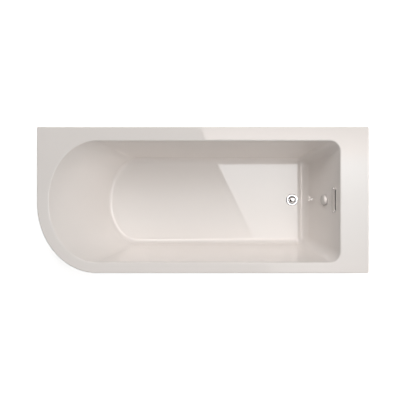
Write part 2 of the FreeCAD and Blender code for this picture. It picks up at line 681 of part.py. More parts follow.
def plug_cap():
    """Chromed domed cap of the plug, with a blind hole for its stem."""
    rim = Z_SEAT + PLUG_RISE / 4
    crown = Z_SEAT + PLUG_RISE
    edge = Vector(WASTE_X + PLUG_RADIUS, 0, rim)
    ball = (PLUG_RADIUS ** 2 + (crown - rim) ** 2) / 2 / (crown - rim)
    half = PLUG_RADIUS / 2
    shoulder = Vector(WASTE_X + half, 0, crown - ball + math.sqrt(ball ** 2 - half ** 2))
    sides = [
        Part.makeLine(waste_axis(Z_SEAT), Vector(WASTE_X + PLUG_RADIUS, 0, Z_SEAT)),
        Part.makeLine(Vector(WASTE_X + PLUG_RADIUS, 0, Z_SEAT), edge),
        Part.Arc(edge, shoulder, waste_axis(crown)).toShape(),
        Part.makeLine(waste_axis(crown), waste_axis(Z_SEAT)),
    ]
    cap = Part.Face(Part.Wire(sides)).revolve(waste_axis(0), UP, 360)
    return cap.cut(rod(STEM_RADIUS + FIT_GAP, waste_axis(Z_SEAT), waste_axis(rim + FIT_GAP)))


def waste_body():
    """Moulded body under the floor: flange, cup, overflow inlet, outlet and the cable's bracket."""
    solid = rod(BODY_FLANGE, waste_axis(Z_BODY - BODY_FLANGE_THICK), waste_axis(Z_BODY))
    solid = solid.fuse(rod(CUP_RADIUS, waste_axis(Z_CUP), waste_axis(Z_BODY)))
    solid = solid.fuse(rod(OUTLET_RADIUS, waste_axis(Z_OUTLET), waste_axis(Z_CUP)))
    inlet_end = Vector(INLET_END_X, 0, Z_INLET)
    solid = solid.fuse(rod(HOSE_RADIUS, waste_axis(Z_INLET), inlet_end))
    boss_end = CRANK_Y - CRANK_THICK / 2 - RUN_GAP
    boss_face = Vector(PIVOT.x, boss_end, Z_INLET)
    solid = solid.fuse(rod(2 * LEVER_PIN, PIVOT, boss_face))
    ear_y = CRANK_Y + CABLE_RADIUS + 2 * GLAND_WALL
    ear_z = Z_CABLE + CABLE_RADIUS + 2 * GLAND_WALL
    solid = solid.fuse(box(EAR_X, EAR_X + EAR_THICK, 0, ear_y, Z_INLET, ear_z)).removeSplitter()
    thread_end = Z_SLEEVE_END - 2 * RUN_GAP
    ear_hole = Vector(EAR_X, CRANK_Y, Z_CABLE)
    spaces = [
        rod(SLEEVE + RUN_GAP, waste_axis(thread_end), waste_axis(Z_BODY)),
        rod(CUP_BORE, waste_axis(Z_CUP + CUP_FLOOR), waste_axis(thread_end)),
        rod(OUTLET_BORE, waste_axis(Z_OUTLET), waste_axis(Z_CUP + CUP_FLOOR)),
        rod(HOSE_BORE, waste_axis(Z_INLET), inlet_end),
        rod(LEVER_PIN + RUN_GAP, PIVOT, boss_face),
        rod(CABLE_RADIUS + RUN_GAP, ear_hole, ear_hole + Vector(EAR_THICK, 0, 0)),
    ]
    return solid.cut(spaces)


def lift_lever():
    """Pin through the body's side with a finger under the plug's stem and a crank for the cable."""
    across = Vector(0, 1, 0)
    tip = PIVOT - Vector(LEVER_ARM, 0, 0)
    end = PIVOT + UP * CRANK_ARM
    crank_in = across * (CRANK_Y - CRANK_THICK / 2)
    crank_out = across * (CRANK_Y + CRANK_THICK / 2)
    wide = across * LEVER_PIN
    lever = rod(LEVER_PIN, PIVOT - wide, PIVOT + crank_out)
    finger = box(tip.x, PIVOT.x, -wide.y, wide.y, PIVOT.z - LEVER_BAR, PIVOT.z + LEVER_BAR)
    crank = box(PIVOT.x - LEVER_PIN, PIVOT.x + LEVER_PIN, crank_in.y, crank_out.y, PIVOT.z, end.z)
    rounds = [
        rod(LEVER_TIP, tip - wide, tip + wide),
        rod(1.6 * LEVER_PIN, PIVOT - wide, PIVOT + wide),
        rod(LEVER_PIN, end + crank_in, end + crank_out),
        rod(1.6 * LEVER_PIN, PIVOT + crank_in, PIVOT + crank_out),
    ]
    lever = lever.fuse([finger, crank] + rounds).removeSplitter()
    lever.rotate(PIVOT, across, -LEVER_HALF_TURN)
    return lever


# Trap: down, round a half turn, up a little and round an elbow towards the back wall
Z_TRAP = Z_OUTLET - TRAP_SEAL
Z_BEND = Z_TRAP - TRAP_DIP
Z_ELBOW = Z_BEND + TRAP_RISE
Z_RUN = Z_ELBOW + ELBOW_BEND
RISER_Y = 2 * TRAP_BEND
SOCKET_Y = RISER_Y + ELBOW_BEND + TRAP_RUN
SOCKET_END_Y = SOCKET_Y + COLLAR_THICK + SOCKET_DEPTH


def trap_point(y, z):
    """Point in the trap's upright plane."""
    return Vector(WASTE_X, y, z)


def trap_body():
    """Moulded P-trap with a collar for the inlet nut and a socket for the waste pipe."""
    half_turn = math.sqrt(0.5)
    path = [
        Part.makeLine(trap_point(0, Z_TRAP), trap_point(0, Z_BEND)),
        Part.Arc(
            trap_point(0, Z_BEND),
            trap_point(TRAP_BEND, Z_BEND - TRAP_BEND),
            trap_point(RISER_Y, Z_BEND),
        ).toShape(),
        Part.makeLine(trap_point(RISER_Y, Z_BEND), trap_point(RISER_Y, Z_ELBOW)),
        Part.Arc(
            trap_point(RISER_Y, Z_ELBOW),
            trap_point(RISER_Y + ELBOW_BEND * (1 - half_turn), Z_ELBOW + ELBOW_BEND * half_turn),
            trap_point(RISER_Y + ELBOW_BEND, Z_RUN),
        ).toShape(),
        Part.makeLine(trap_point(RISER_Y + ELBOW_BEND, Z_RUN), trap_point(SOCKET_Y + COLLAR_THICK, Z_RUN)),
    ]
    solid = swept(TRAP_RADIUS, path)
    solid = solid.fuse(rod(OUTLET_RADIUS, trap_point(0, Z_TRAP - COLLAR_THICK), trap_point(0, Z_TRAP)))
    solid = solid.fuse(rod(SOCKET_RADIUS, trap_point(SOCKET_Y, Z_RUN), trap_point(SOCKET_END_Y, Z_RUN)))
    socket = rod(SOCKET_BORE, trap_point(SOCKET_Y + COLLAR_THICK, Z_RUN), trap_point(SOCKET_END_Y, Z_RUN))
    return solid.removeSplitter().cut([swept(TRAP_BORE, path), socket])


def trap_inlet_nut():
    """Nut on the body's outlet that draws the trap's collar up against its seal."""
    low = Z_TRAP - 2 * COLLAR_THICK
    outer = rod(OUTLET_RADIUS + RUN_GAP + PIPE_NUT_WALL, waste_axis(low), waste_axis(low + PIPE_NUT_LENGTH))
    thread = rod(OUTLET_RADIUS + RUN_GAP, waste_axis(low + COLLAR_THICK), waste_axis(low + PIPE_NUT_LENGTH))
    return outer.cut([thread, rod(TRAP_RADIUS + RUN_GAP, waste_axis(low), waste_axis(low + COLLAR_THICK))])


def trap_outlet_nut():
    """Nut on the socket that squeezes a ring seal round the waste pipe."""
    end = SOCKET_END_Y + TRAP_SEAL + COLLAR_THICK
    start = end - PIPE_NUT_LENGTH
    outer = rod(SOCKET_RADIUS + RUN_GAP + PIPE_NUT_WALL, trap_point(start, Z_RUN), trap_point(end, Z_RUN))
    thread = rod(SOCKET_RADIUS + RUN_GAP, trap_point(start, Z_RUN), trap_point(end - COLLAR_THICK, Z_RUN))
    return outer.cut([thread, rod(SOCKET_BORE + RUN_GAP, trap_point(start, Z_RUN), trap_point(end, Z_RUN))])


save("waste_flange", waste_flange())
hole = SLEEVE + RUN_GAP
save("waste_seal_upper", tube(FLANGE_RADIUS - SEAL_UPPER, hole, waste_axis(Z_FLOOR), waste_axis(Z_SEAT)))
save("waste_seal_lower", tube(BODY_FLANGE, hole, waste_axis(Z_BODY), waste_axis(Z_GLASS_UNDER)))
save("waste_body", waste_body())
save("plug_cap", plug_cap())
hole = STEM_RADIUS + FIT_GAP
save("plug_seal", tube(THROAT - RUN_GAP, hole, waste_axis(Z_SEAT - SEAL_LOWER), waste_axis(Z_SEAT)))
save("plug_stem", rod(STEM_RADIUS, waste_axis(Z_STEM_END), waste_axis(Z_SEAT + PLUG_RISE / 4)))
save("lift_lever", lift_lever())
save("trap_seal", tube(OUTLET_RADIUS, TRAP_BORE, waste_axis(Z_TRAP), waste_axis(Z_OUTLET)))
save("trap_inlet_nut", trap_inlet_nut())
save("trap_body", trap_body())
outlet_seal = tube(
    SOCKET_RADIUS, SOCKET_BORE + RUN_GAP,
    trap_point(SOCKET_END_Y, Z_RUN), trap_point(SOCKET_END_Y + TRAP_SEAL, Z_RUN),
)
save("trap_outlet_seal", outlet_seal)
save("trap_outlet_nut", trap_outlet_nut())

# Chamber behind the end wall, in the wall's frame
CHAMBER_FRONT = WALL_BACK - GASKET
CHAMBER_BACK = CHAMBER_FRONT - CHAMBER_DEPTH
CHAMBER_BOTTOM = KNOB_Y - CHAMBER_TAIL
BEZEL_SEATS = [Vector(x, SLOT_Y, BEZEL_THICK) for x in (-BEZEL_SCREW_X, BEZEL_SCREW_X)]
BEZEL_SCREW_LENGTH = BEZEL_THICK - CHAMBER_FRONT + SCREW_LENGTH
OUT_OF_BASIN = Vector(0, 0, -1)
BUSH_END = WALL_BACK - BUSH_NUT_THICK - 2 * STEEL
KNOB_BASE = BUSH_FLANGE_THICK + RUN_GAP
KNOB_TOP = KNOB_BASE + KNOB_THICK
SPINDLE_TOP = KNOB_BASE + KNOB_THICK / 2
WINDER_TOP = BUSH_END - RUN_GAP
WINDER_END = WINDER_TOP - WINDER_THICK
SPINDLE_END = WINDER_END - 2 * COLLAR_THICK


def chamber_block(grow, z0, z1):
    """Prism over the chamber's outline: wide round the slot, narrow round the knob."""
    high = SLOT_LENGTH / 2 + CHAMBER_MARGIN
    low = CHAMBER_LOW_HALF
    top = SLOT_Y + SLOT_HEIGHT / 2 + CHAMBER_MARGIN + grow
    shoulder = SLOT_Y - SLOT_HEIGHT / 2 - CHAMBER_MARGIN - grow * math.tan(math.radians(22.5))
    waist = shoulder - (high - low)
    bottom = CHAMBER_BOTTOM - grow
    half = [(high + grow, top), (high + grow, shoulder), (low + grow, waist), (low + grow, bottom)]
    outline = half + [(-x, y) for x, y in reversed(half)]
    return extruded([Vector(x, y, z0) for x, y in outline], Vector(0, 0, z1 - z0))


# Upright outlets under the chamber, for the hose and for the cable
CHAMBER_LOW = WALL_FRAME.multVec(Vector(0, CHAMBER_BOTTOM, (CHAMBER_FRONT + CHAMBER_BACK) / 2))
DROP_X = CHAMBER_LOW.x
Z_SPIGOT = CHAMBER_LOW.z - SPIGOT_DROP
GLAND_TOP = CHAMBER_LOW.z + GLAND_LENGTH / 2
GLAND_END = CHAMBER_LOW.z - GLAND_LENGTH


def drop_point(y, z):
    """Point on an upright line below the chamber."""
    return Vector(DROP_X, y, z)


def overflow_chamber():
    """Moulded box behind the overflow and the knob, with bosses for the bezel's screws."""
    shell = chamber_block(CHAMBER_WALL, CHAMBER_BACK - CHAMBER_WALL, CHAMBER_FRONT)
    shell = shell.fuse(chamber_block(GASKET_WIDTH, CHAMBER_FRONT - CHAMBER_WALL, CHAMBER_FRONT))
    shell = on_wall(shell.removeSplitter())
    spigot_top = CHAMBER_LOW.z + HOSE_RADIUS / 2
    gland = CABLE_RADIUS + RUN_GAP
    shell = shell.fuse(rod(HOSE_RADIUS, drop_point(0, spigot_top), drop_point(0, Z_SPIGOT)))
    gland_top = drop_point(CRANK_Y, GLAND_TOP)
    gland_end = drop_point(CRANK_Y, GLAND_END)
    shell = shell.fuse(rod(gland + GLAND_WALL, gland_top, gland_end))
    shell = shell.cut(on_wall(chamber_block(0, CHAMBER_BACK, CHAMBER_FRONT)))
    shell = shell.cut(rod(HOSE_BORE, drop_point(0, spigot_top + HOSE_RADIUS), drop_point(0, Z_SPIGOT)))
    shell = shell.cut(rod(gland, gland_top, gland_end))
    for seat in BEZEL_SEATS:
        face = Vector(seat.x, seat.y, CHAMBER_FRONT)
        boss = rod(SCREW_HEAD_RADIUS, face, Vector(seat.x, seat.y, CHAMBER_BACK))
        shell = shell.fuse(on_wall(boss.cut(screw_hole(face, OUT_OF_BASIN))))
    return shell


def overflow_bezel():
    """Cover over the slot in the end wall, open along its top, with a lining behind it."""
    cover = rounded_block(SLOT_LENGTH, SLOT_HEIGHT, SLOT_ROUND, SLOT_Y, 0, BEZEL_THICK)
    length = SLOT_OPEN_LENGTH + 2 * BEZEL_WALL
    height = SLOT_OPEN_HEIGHT + 2 * BEZEL_WALL
    lining = rounded_block(length, height, SLOT_ROUND, SLOT_Y, -BEZEL_DEPTH, 0)
    inner_round = SLOT_ROUND - BEZEL_WALL
    hollow = rounded_block(SLOT_OPEN_LENGTH, SLOT_OPEN_HEIGHT, inner_round, SLOT_Y, -BEZEL_DEPTH, 0)
    sill = SLOT_Y + SLOT_OPEN_HEIGHT / 2 - BEZEL_INLET
    half = SLOT_OPEN_LENGTH / 2
    inlet = box(-half, half, sill, sill + SLOT_HEIGHT, 0, BEZEL_THICK)
    holes = [screw_hole(seat, OUT_OF_BASIN) for seat in BEZEL_SEATS]
    return on_wall(cover.fuse(lining).removeSplitter().cut([hollow, inlet] + holes))


def knob_point(z):
    """Point on the knob's axis in the end wall's frame."""
    return Vector(0, KNOB_Y, z)


def overflow_knob():
    """Round turning knob with a domed front and a hole for its spindle."""
    knob = rod(KNOB_RADIUS, knob_point(KNOB_BASE), knob_point(KNOB_TOP))
    front = [edge for edge in knob.Edges if edge.BoundBox.ZMin > KNOB_TOP - 0.01]
    knob = knob.makeFillet(KNOB_ROUND, front)
    hole = rod(SPINDLE_RADIUS + FIT_GAP, knob_point(KNOB_BASE), knob_point(SPINDLE_TOP))
    return on_wall(knob.cut(hole))


def knob_bush():
    """Flanged bush through the wall that the spindle turns in."""
    bush = rod(BUSH_RADIUS, knob_point(BUSH_END), knob_point(0))
    bush = bush.fuse(rod(BUSH_FLANGE, knob_point(0), knob_point(BUSH_FLANGE_THICK))).removeSplitter()
    bore = rod(SPINDLE_RADIUS + RUN_GAP, knob_point(BUSH_END), knob_point(BUSH_FLANGE_THICK))
    return on_wall(bush.cut(bore))


def hose_wire():
    """Line from the body's inlet, bend and upright line to the chamber's spigot."""
    bend = DROP_X - INLET_END_X - 2 * HOSE_RADIUS
    low = Vector(DROP_X - bend, 0, Z_INLET)
    high = drop_point(0, Z_INLET + bend)
    middle = Vector(DROP_X - bend * (1 - math.sqrt(0.5)), 0, Z_INLET + bend * (1 - math.sqrt(0.5)))
    return [
        Part.makeLine(Vector(INLET_END_X, 0, Z_INLET), low),
        Part.Arc(low, middle, high).toShape(),
        Part.makeLine(high, drop_point(0, Z_SPIGOT)),
    ]


def hose_ring(path, distance, radius):
    """Circle square to the path at a distance along it, with a steady start direction."""
    for edge in path:
        if distance <= edge.Length + 1e-6:
            break
        distance -= edge.Length
    place = edge.getParameterByLength(min(distance, edge.Length))
    across = Vector(0, 1, 0)
    along = edge.tangentAt(place)
    ring = Part.Wire(Part.makeCircle(radius))
    turn = FreeCAD.Rotation(across, along.cross(across), along, "ZXY")
    ring.Placement = FreeCAD.Placement(edge.valueAt(place), turn)
    return ring


def overflow_hose():
    """Ribbed plastic hose with plain cuffs and a smooth bore."""
    path = hose_wire()
    length = sum(edge.Length for edge in path)
    cuff = 2 * HOSE_RADIUS
    count = int((length - 2 * cuff) / RIB_PITCH)
    pitch = (length - 2 * cuff) / count
    root = HOSE_RADIUS - RIB_DEPTH
    rings = [hose_ring(path, 0, HOSE_RADIUS)]
    for number in range(count):
        start = cuff + number * pitch
        for share, radius in ((0.0, HOSE_RADIUS), (0.35, HOSE_RADIUS), (0.55, root), (0.8, root)):
            rings.append(hose_ring(path, start + share * pitch, radius))
    rings.append(hose_ring(path, length - cuff, HOSE_RADIUS))
    rings.append(hose_ring(path, length, HOSE_RADIUS))
    return Part.makeLoft(rings, True, True).cut(swept(HOSE_BORE, path))


def hose_nut(joint, along):
    """Coupling nut round the joint between a spigot and a hose cuff."""
    half = along * (HOSE_NUT_LENGTH / 2)
    bore = HOSE_RADIUS + RUN_GAP
    return tube(bore + HOSE_NUT_WALL, bore, joint - half, joint + half)


def pop_up_cable():
    """Sheathed cable from the ear on the waste body, round one bend, up into the chamber's gland."""
    low = Vector(DROP_X - CABLE_BEND, CRANK_Y, Z_CABLE)
    high = drop_point(CRANK_Y, Z_CABLE + CABLE_BEND)
    inset = CABLE_BEND * (1 - math.sqrt(0.5))
    path = [
        Part.makeLine(Vector(EAR_X, CRANK_Y, Z_CABLE), low),
        Part.Arc(low, Vector(DROP_X - inset, CRANK_Y, Z_CABLE + inset), high).toShape(),
        Part.makeLine(high, drop_point(CRANK_Y, CHAMBER_LOW.z)),
    ]
    cable = swept(CABLE_RADIUS, path)
    length = sum(edge.Length for edge in path)
    print("pop-up cable: volume", round(cable.Volume), "section times length",
          round(math.pi * CABLE_RADIUS ** 2 * length))
    return cable


save("overflow_bezel", overflow_bezel())
bezel_screws = [on_wall(screw(seat, OUT_OF_BASIN, BEZEL_SCREW_LENGTH)) for seat in BEZEL_SEATS]
save("bezel_screws", Part.makeCompound(bezel_screws))
gasket = chamber_block(GASKET_WIDTH, CHAMBER_FRONT, WALL_BACK).cut(chamber_block(0, CHAMBER_FRONT, WALL_BACK))
save("overflow_gasket", on_wall(gasket))
save("overflow_chamber", overflow_chamber())
save("knob_bush", knob_bush())
nut_back = knob_point(WALL_BACK - BUSH_NUT_THICK)
bush_nut = tube(BUSH_NUT_RADIUS, BUSH_RADIUS + FIT_GAP, nut_back, knob_point(WALL_BACK))
save("bush_nut", on_wall(bush_nut))
save("overflow_knob", overflow_knob())
save("knob_spindle", on_wall(rod(SPINDLE_RADIUS, knob_point(SPINDLE_END), knob_point(SPINDLE_TOP))))
hole = SPINDLE_RADIUS + FIT_GAP
winder = tube(WINDER_RADIUS, hole, knob_point(WINDER_END), knob_point(WINDER_TOP))
save("cable_winder", on_wall(winder))
collar = tube(COLLAR_RADIUS, hole, knob_point(WINDER_END - COLLAR_THICK), knob_point(WINDER_END))
save("spindle_collar", on_wall(collar))
save("overflow_hose", overflow_hose())
save("hose_nut_upper", hose_nut(drop_point(0, Z_SPIGOT), UP))
save("hose_nut_lower", hose_nut(Vector(INLET_END_X, 0, Z_INLET), Vector(1, 0, 0)))
save("pop_up_cable", pop_up_cable())
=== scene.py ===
# Corner bathtub with pop-up waste, overflow, cradle and panel, seen from straight above.
# Metres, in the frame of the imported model: origin on the floor below the middle of the tub,
# +X towards the drain end, +Y towards the long back wall, +Z up.

import math

import bmesh
import bpy
import numpy as np
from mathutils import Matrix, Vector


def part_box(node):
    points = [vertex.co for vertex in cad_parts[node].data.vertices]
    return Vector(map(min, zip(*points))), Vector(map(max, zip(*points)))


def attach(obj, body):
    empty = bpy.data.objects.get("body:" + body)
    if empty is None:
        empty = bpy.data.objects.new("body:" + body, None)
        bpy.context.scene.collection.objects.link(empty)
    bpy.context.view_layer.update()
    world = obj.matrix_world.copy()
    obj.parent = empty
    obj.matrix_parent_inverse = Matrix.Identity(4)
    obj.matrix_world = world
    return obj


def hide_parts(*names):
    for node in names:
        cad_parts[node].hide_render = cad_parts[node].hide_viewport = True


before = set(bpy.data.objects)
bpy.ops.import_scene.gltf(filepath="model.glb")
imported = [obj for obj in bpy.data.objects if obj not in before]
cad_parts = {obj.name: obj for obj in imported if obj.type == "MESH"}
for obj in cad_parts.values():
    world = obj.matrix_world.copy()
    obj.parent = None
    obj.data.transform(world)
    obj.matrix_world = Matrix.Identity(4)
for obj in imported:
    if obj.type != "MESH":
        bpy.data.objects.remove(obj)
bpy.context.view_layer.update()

# Tub shell
# One sheet of white acrylic, heated and drawn down over a mould: flat rim, turned-down lip, leaning walls
# and a flat floor. The openings for the waste, the overflow and the knob are cut once it is cold.
SHELL_LOW, SHELL_HIGH = np.array(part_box("tub_shell"))
RIM_Z = SHELL_HIGH[2]
SHELL = 0.005
LIP_DEPTH, LIP_ROUND = 0.045, 0.004
SQUARE_CORNER, LEAST_CORNER, LONG_CORNER = 0.006, 0.0005, (0.3085, 0.360)
RIM_HEAD, RIM_END, RIM_FRONT, RIM_BACK = 0.059, 0.146, 0.055, 0.0725
EDGE_ROUND = 0.009
BASIN_DEPTH = 0.405
HEAD_RUN, END_RUN, FRONT_RUN, BACK_RUN = 0.310, 0.182, 0.098, 0.0935
WALL_RUNS = np.array([(HEAD_RUN, END_RUN), (FRONT_RUN, BACK_RUN)])
HEAD_CURVE, FLOOR_HEAD_CURVE = 0.2495, 0.144
RIM_CORNER, FLOOR_CORNER = (0.055, 0.055), (0.041, 0.032)
FLOOR_ROUND, END_COVE, END_CREASE = 0.034, 0.100, math.radians(18)
WASTE_X, WASTE_HOLE = 0.459, 0.0253
FLOOR_Z = RIM_Z - BASIN_DEPTH
BASIN_X = (SHELL_LOW[0] + RIM_HEAD, SHELL_HIGH[0] - RIM_END)
BASIN_Y = (SHELL_LOW[1] + RIM_FRONT, SHELL_HIGH[1] - RIM_BACK)
SQUARE = np.array([(-1, -1), (1, -1), (1, 1), (-1, 1)])
CORNER_STEPS, SIDE_STEPS, ARC_STEPS, WALL_STEPS = 72, 6, 10, 12
HOLD = 0.004
SHARP = 35
ACRYLIC_COLOUR = (0.812, 0.766, 0.731)


def rounded_plan(x, y, rounds):
    """Ring of x, y points: quarter ellipses of the given half axes at the four corners of a rectangle,
    front left first and on round by the front right, with evenly stepped straight sides between them."""
    middle, reach = np.mean([x, y], axis=1), np.ptp([x, y], axis=1) / 2
    arcs = []
    for number, half in enumerate(np.array(rounds)):
        turn = np.linspace(0, np.pi / 2, CORNER_STEPS + 1) + np.pi * (1 + number / 2)
        circle = np.stack([np.cos(turn), np.sin(turn)], 1)
        arcs.append(middle + SQUARE[number] * (reach - half) + half * circle)
    share = np.linspace(0, 1, SIDE_STEPS + 1)[1:-1, None]
    pieces = []
    for arc, following in zip(arcs, arcs[1:] + arcs[:1]):
        pieces += [arc, arc[-1] + (following[0] - arc[-1]) * share]
    return np.concatenate(pieces)


def rim_plan(inset):
    """The tub's outside outline moved inwards: one long corner at the front of the head end, three square."""
    small = max(SQUARE_CORNER - inset, LEAST_CORNER)
    rounds = [np.subtract(LONG_CORNER, inset)] + [(small, small)] * 3
    low, high = SHELL_LOW + inset, SHELL_HIGH - inset
    return rounded_plan((low[0], high[0]), (low[1], high[1]), rounds)


def basin_plans(offset):
    """The basin's outline at the rim and on the floor, both grown square to its walls by an offset."""
    grow = offset * np.hypot(1, WALL_RUNS / BASIN_DEPTH) * (-1, 1)
    top = np.array([BASIN_X, BASIN_Y]) + grow
    low = top + WALL_RUNS * (1 + offset / BASIN_DEPTH) * (1, -1)
    plans = []
    for sides, curve, corner in ((top, HEAD_CURVE, RIM_CORNER), (low, FLOOR_HEAD_CURVE, FLOOR_CORNER)):
        head, drain = (curve - grow[0, 0], np.ptp(sides[1]) / 2), np.add(corner, offset)
        plans.append(rounded_plan(*sides, [head, drain, drain, head]))
    return plans


def level(plan, z):
    """A ring of x, y points raised to one height."""
    return np.column_stack([plan, np.full(len(plan), z)])


def between(first, last, shares):
    """Rings part of the way from one ring to another."""
    return [first + (last - first) * share for share in shares]


def basin_side(offset, edge_round, start_depth):
    """Rings down the basin's side: an arc leaves the rim, a straight line follows the wall, and an arc runs
    out on the floor. The arcs are worked out square to the four walls, and round the corners they are blended
    by the square of the direction that each point faces, which is the plan of a unit circle. At the drain end
    the floor arc is wider and meets the floor in a crease. Without an edge arc the line starts at a depth."""
    top, low = basin_plans(offset)
    depth = BASIN_DEPTH + offset
    facing = rounded_plan((-1, 1), (-1, 1), [(1, 1)] * 4)
    at_end = (facing > 0) * (1, 0)
    steep = np.arctan2(BASIN_DEPTH, np.where(facing > 0, WALL_RUNS[:, 1], WALL_RUNS[:, 0]))
    floor_round = offset + FLOOR_ROUND + (END_COVE - FLOOR_ROUND) * at_end
    crease = END_CREASE * at_end
    floor_centre = floor_round * (np.sin(steep) - (np.cos(crease) - np.cos(steep)) / np.tan(steep))

    def ring(plan, inwards, down):
        """Plan moved inwards and down by amounts for its two nearest walls, blended by what it faces."""
        return np.column_stack([plan - facing * inwards, RIM_Z - (facing ** 2 * down).sum(1)])

    rings = [level(top + (low - top) * start_depth / depth, RIM_Z - start_depth)]
    if edge_round:
        rings = [ring(top, edge_round * (np.sin(turn) - np.tan(steep / 2)), edge_round * (1 - np.cos(turn)))
                 for turn in np.linspace(np.zeros_like(steep), steep, ARC_STEPS + 1)]
    floor_arc = [ring(low, floor_centre - floor_round * np.sin(turn),
                      depth - floor_round * (np.cos(crease) - np.cos(turn)))
                 for turn in np.linspace(steep, crease, ARC_STEPS + 1)]
    shares = np.r_[HOLD, np.linspace(0, 1, WALL_STEPS + 1)[1:-1], 1 - HOLD]
    return rings + between(rings[-1], floor_arc[0], shares) + floor_arc


def waste_ring(outline, radius, z):
    """Circle round the waste whose points face those of a floor outline."""
    turn = np.arctan2(outline[:, 1], outline[:, 0] - WASTE_X)
    return level(np.column_stack([WASTE_X + radius * np.cos(turn), radius * np.sin(turn)]), z)


def shell_grid():
    """The whole sheet as one ring of rings, closed both ways: from the waste hole over the floor, up the
    wall, across the rim, down the lip, and back along the underside to the hole."""
    inside = basin_side(0, EDGE_ROUND, 0)[::-1]
    outside = basin_side(SHELL, 0, SHELL)
    lip = [level(rim_plan(LIP_ROUND * (1 - math.sin(turn))), RIM_Z - LIP_ROUND * (1 - math.cos(turn)))
           for turn in np.linspace(0, np.pi / 2, ARC_STEPS + 1)]
    hem = [level(rim_plan(inset), RIM_Z - drop)
           for inset, drop in ((0, LIP_DEPTH), (SHELL, LIP_DEPTH), (SHELL, SHELL))]
    floor_top = waste_ring(inside[0], WASTE_HOLE, FLOOR_Z)
    floor_under = waste_ring(outside[-1], WASTE_HOLE, FLOOR_Z - SHELL)
    rings = [floor_top] + between(floor_top, inside[0], (HOLD, 1 - HOLD)) + inside
    rings += between(inside[-1], lip[0], (HOLD, 1 - HOLD)) + lip
    rings += between(lip[-1], hem[0], (2 * HOLD, 1 - 2 * HOLD)) + hem
    rings += outside + between(outside[-1], floor_under, (HOLD, 1 - HOLD)) + [floor_under]
    return np.stack(rings)


def grid_faces(rows, columns, wrap_rows, wrap_columns):
    """Corner numbers of the quads of a grid whose last row or column may join its first."""
    row = np.arange(rows if wrap_rows else rows - 1)[:, None]
    column = np.arange(columns if wrap_columns else columns - 1)[None, :]
    next_row, next_column = (row + 1) % rows, (column + 1) % columns
    corners = (row * columns + column, row * columns + next_column,
               next_row * columns + next_column, next_row * columns + column)
    return np.stack([corner.ravel() for corner in np.broadcast_arrays(*corners)], 1)


def placed(name, data):
    """Object at the origin that holds a mesh, a lamp or a camera, shown in the scene."""
    thing = bpy.data.objects.new(name, data)
    bpy.context.scene.collection.objects.link(thing)
    return thing


def surface(name, grids, sharp=SHARP):
    """One object from point grids, each an array of rows, columns and x, y, z with flags that say whether
    rows and columns close on themselves. Meeting points are welded, faces turned outwards, and edges
    sharper than an angle in degrees kept crisp."""
    points, faces, count = [], [], 0
    for grid, wrap_rows, wrap_columns in grids:
        rows, columns = grid.shape[:2]
        points.append(grid.reshape(-1, 3))
        faces.append(grid_faces(rows, columns, wrap_rows, wrap_columns) + count)
        count += rows * columns
    mesh = bpy.data.meshes.new(name)
    mesh.from_pydata(np.concatenate(points).tolist(), [], np.concatenate(faces).tolist())
    work = bmesh.new()
    work.from_mesh(mesh)
    bmesh.ops.remove_doubles(work, verts=work.verts, dist=1e-6)
    bmesh.ops.dissolve_degenerate(work, edges=work.edges, dist=1e-7)
    bmesh.ops.recalc_face_normals(work, faces=work.faces)
    work.to_mesh(mesh)
    work.free()
    mesh.shade_smooth()
    mesh.set_sharp_from_angle(angle=math.radians(sharp))
    return placed(name, mesh)


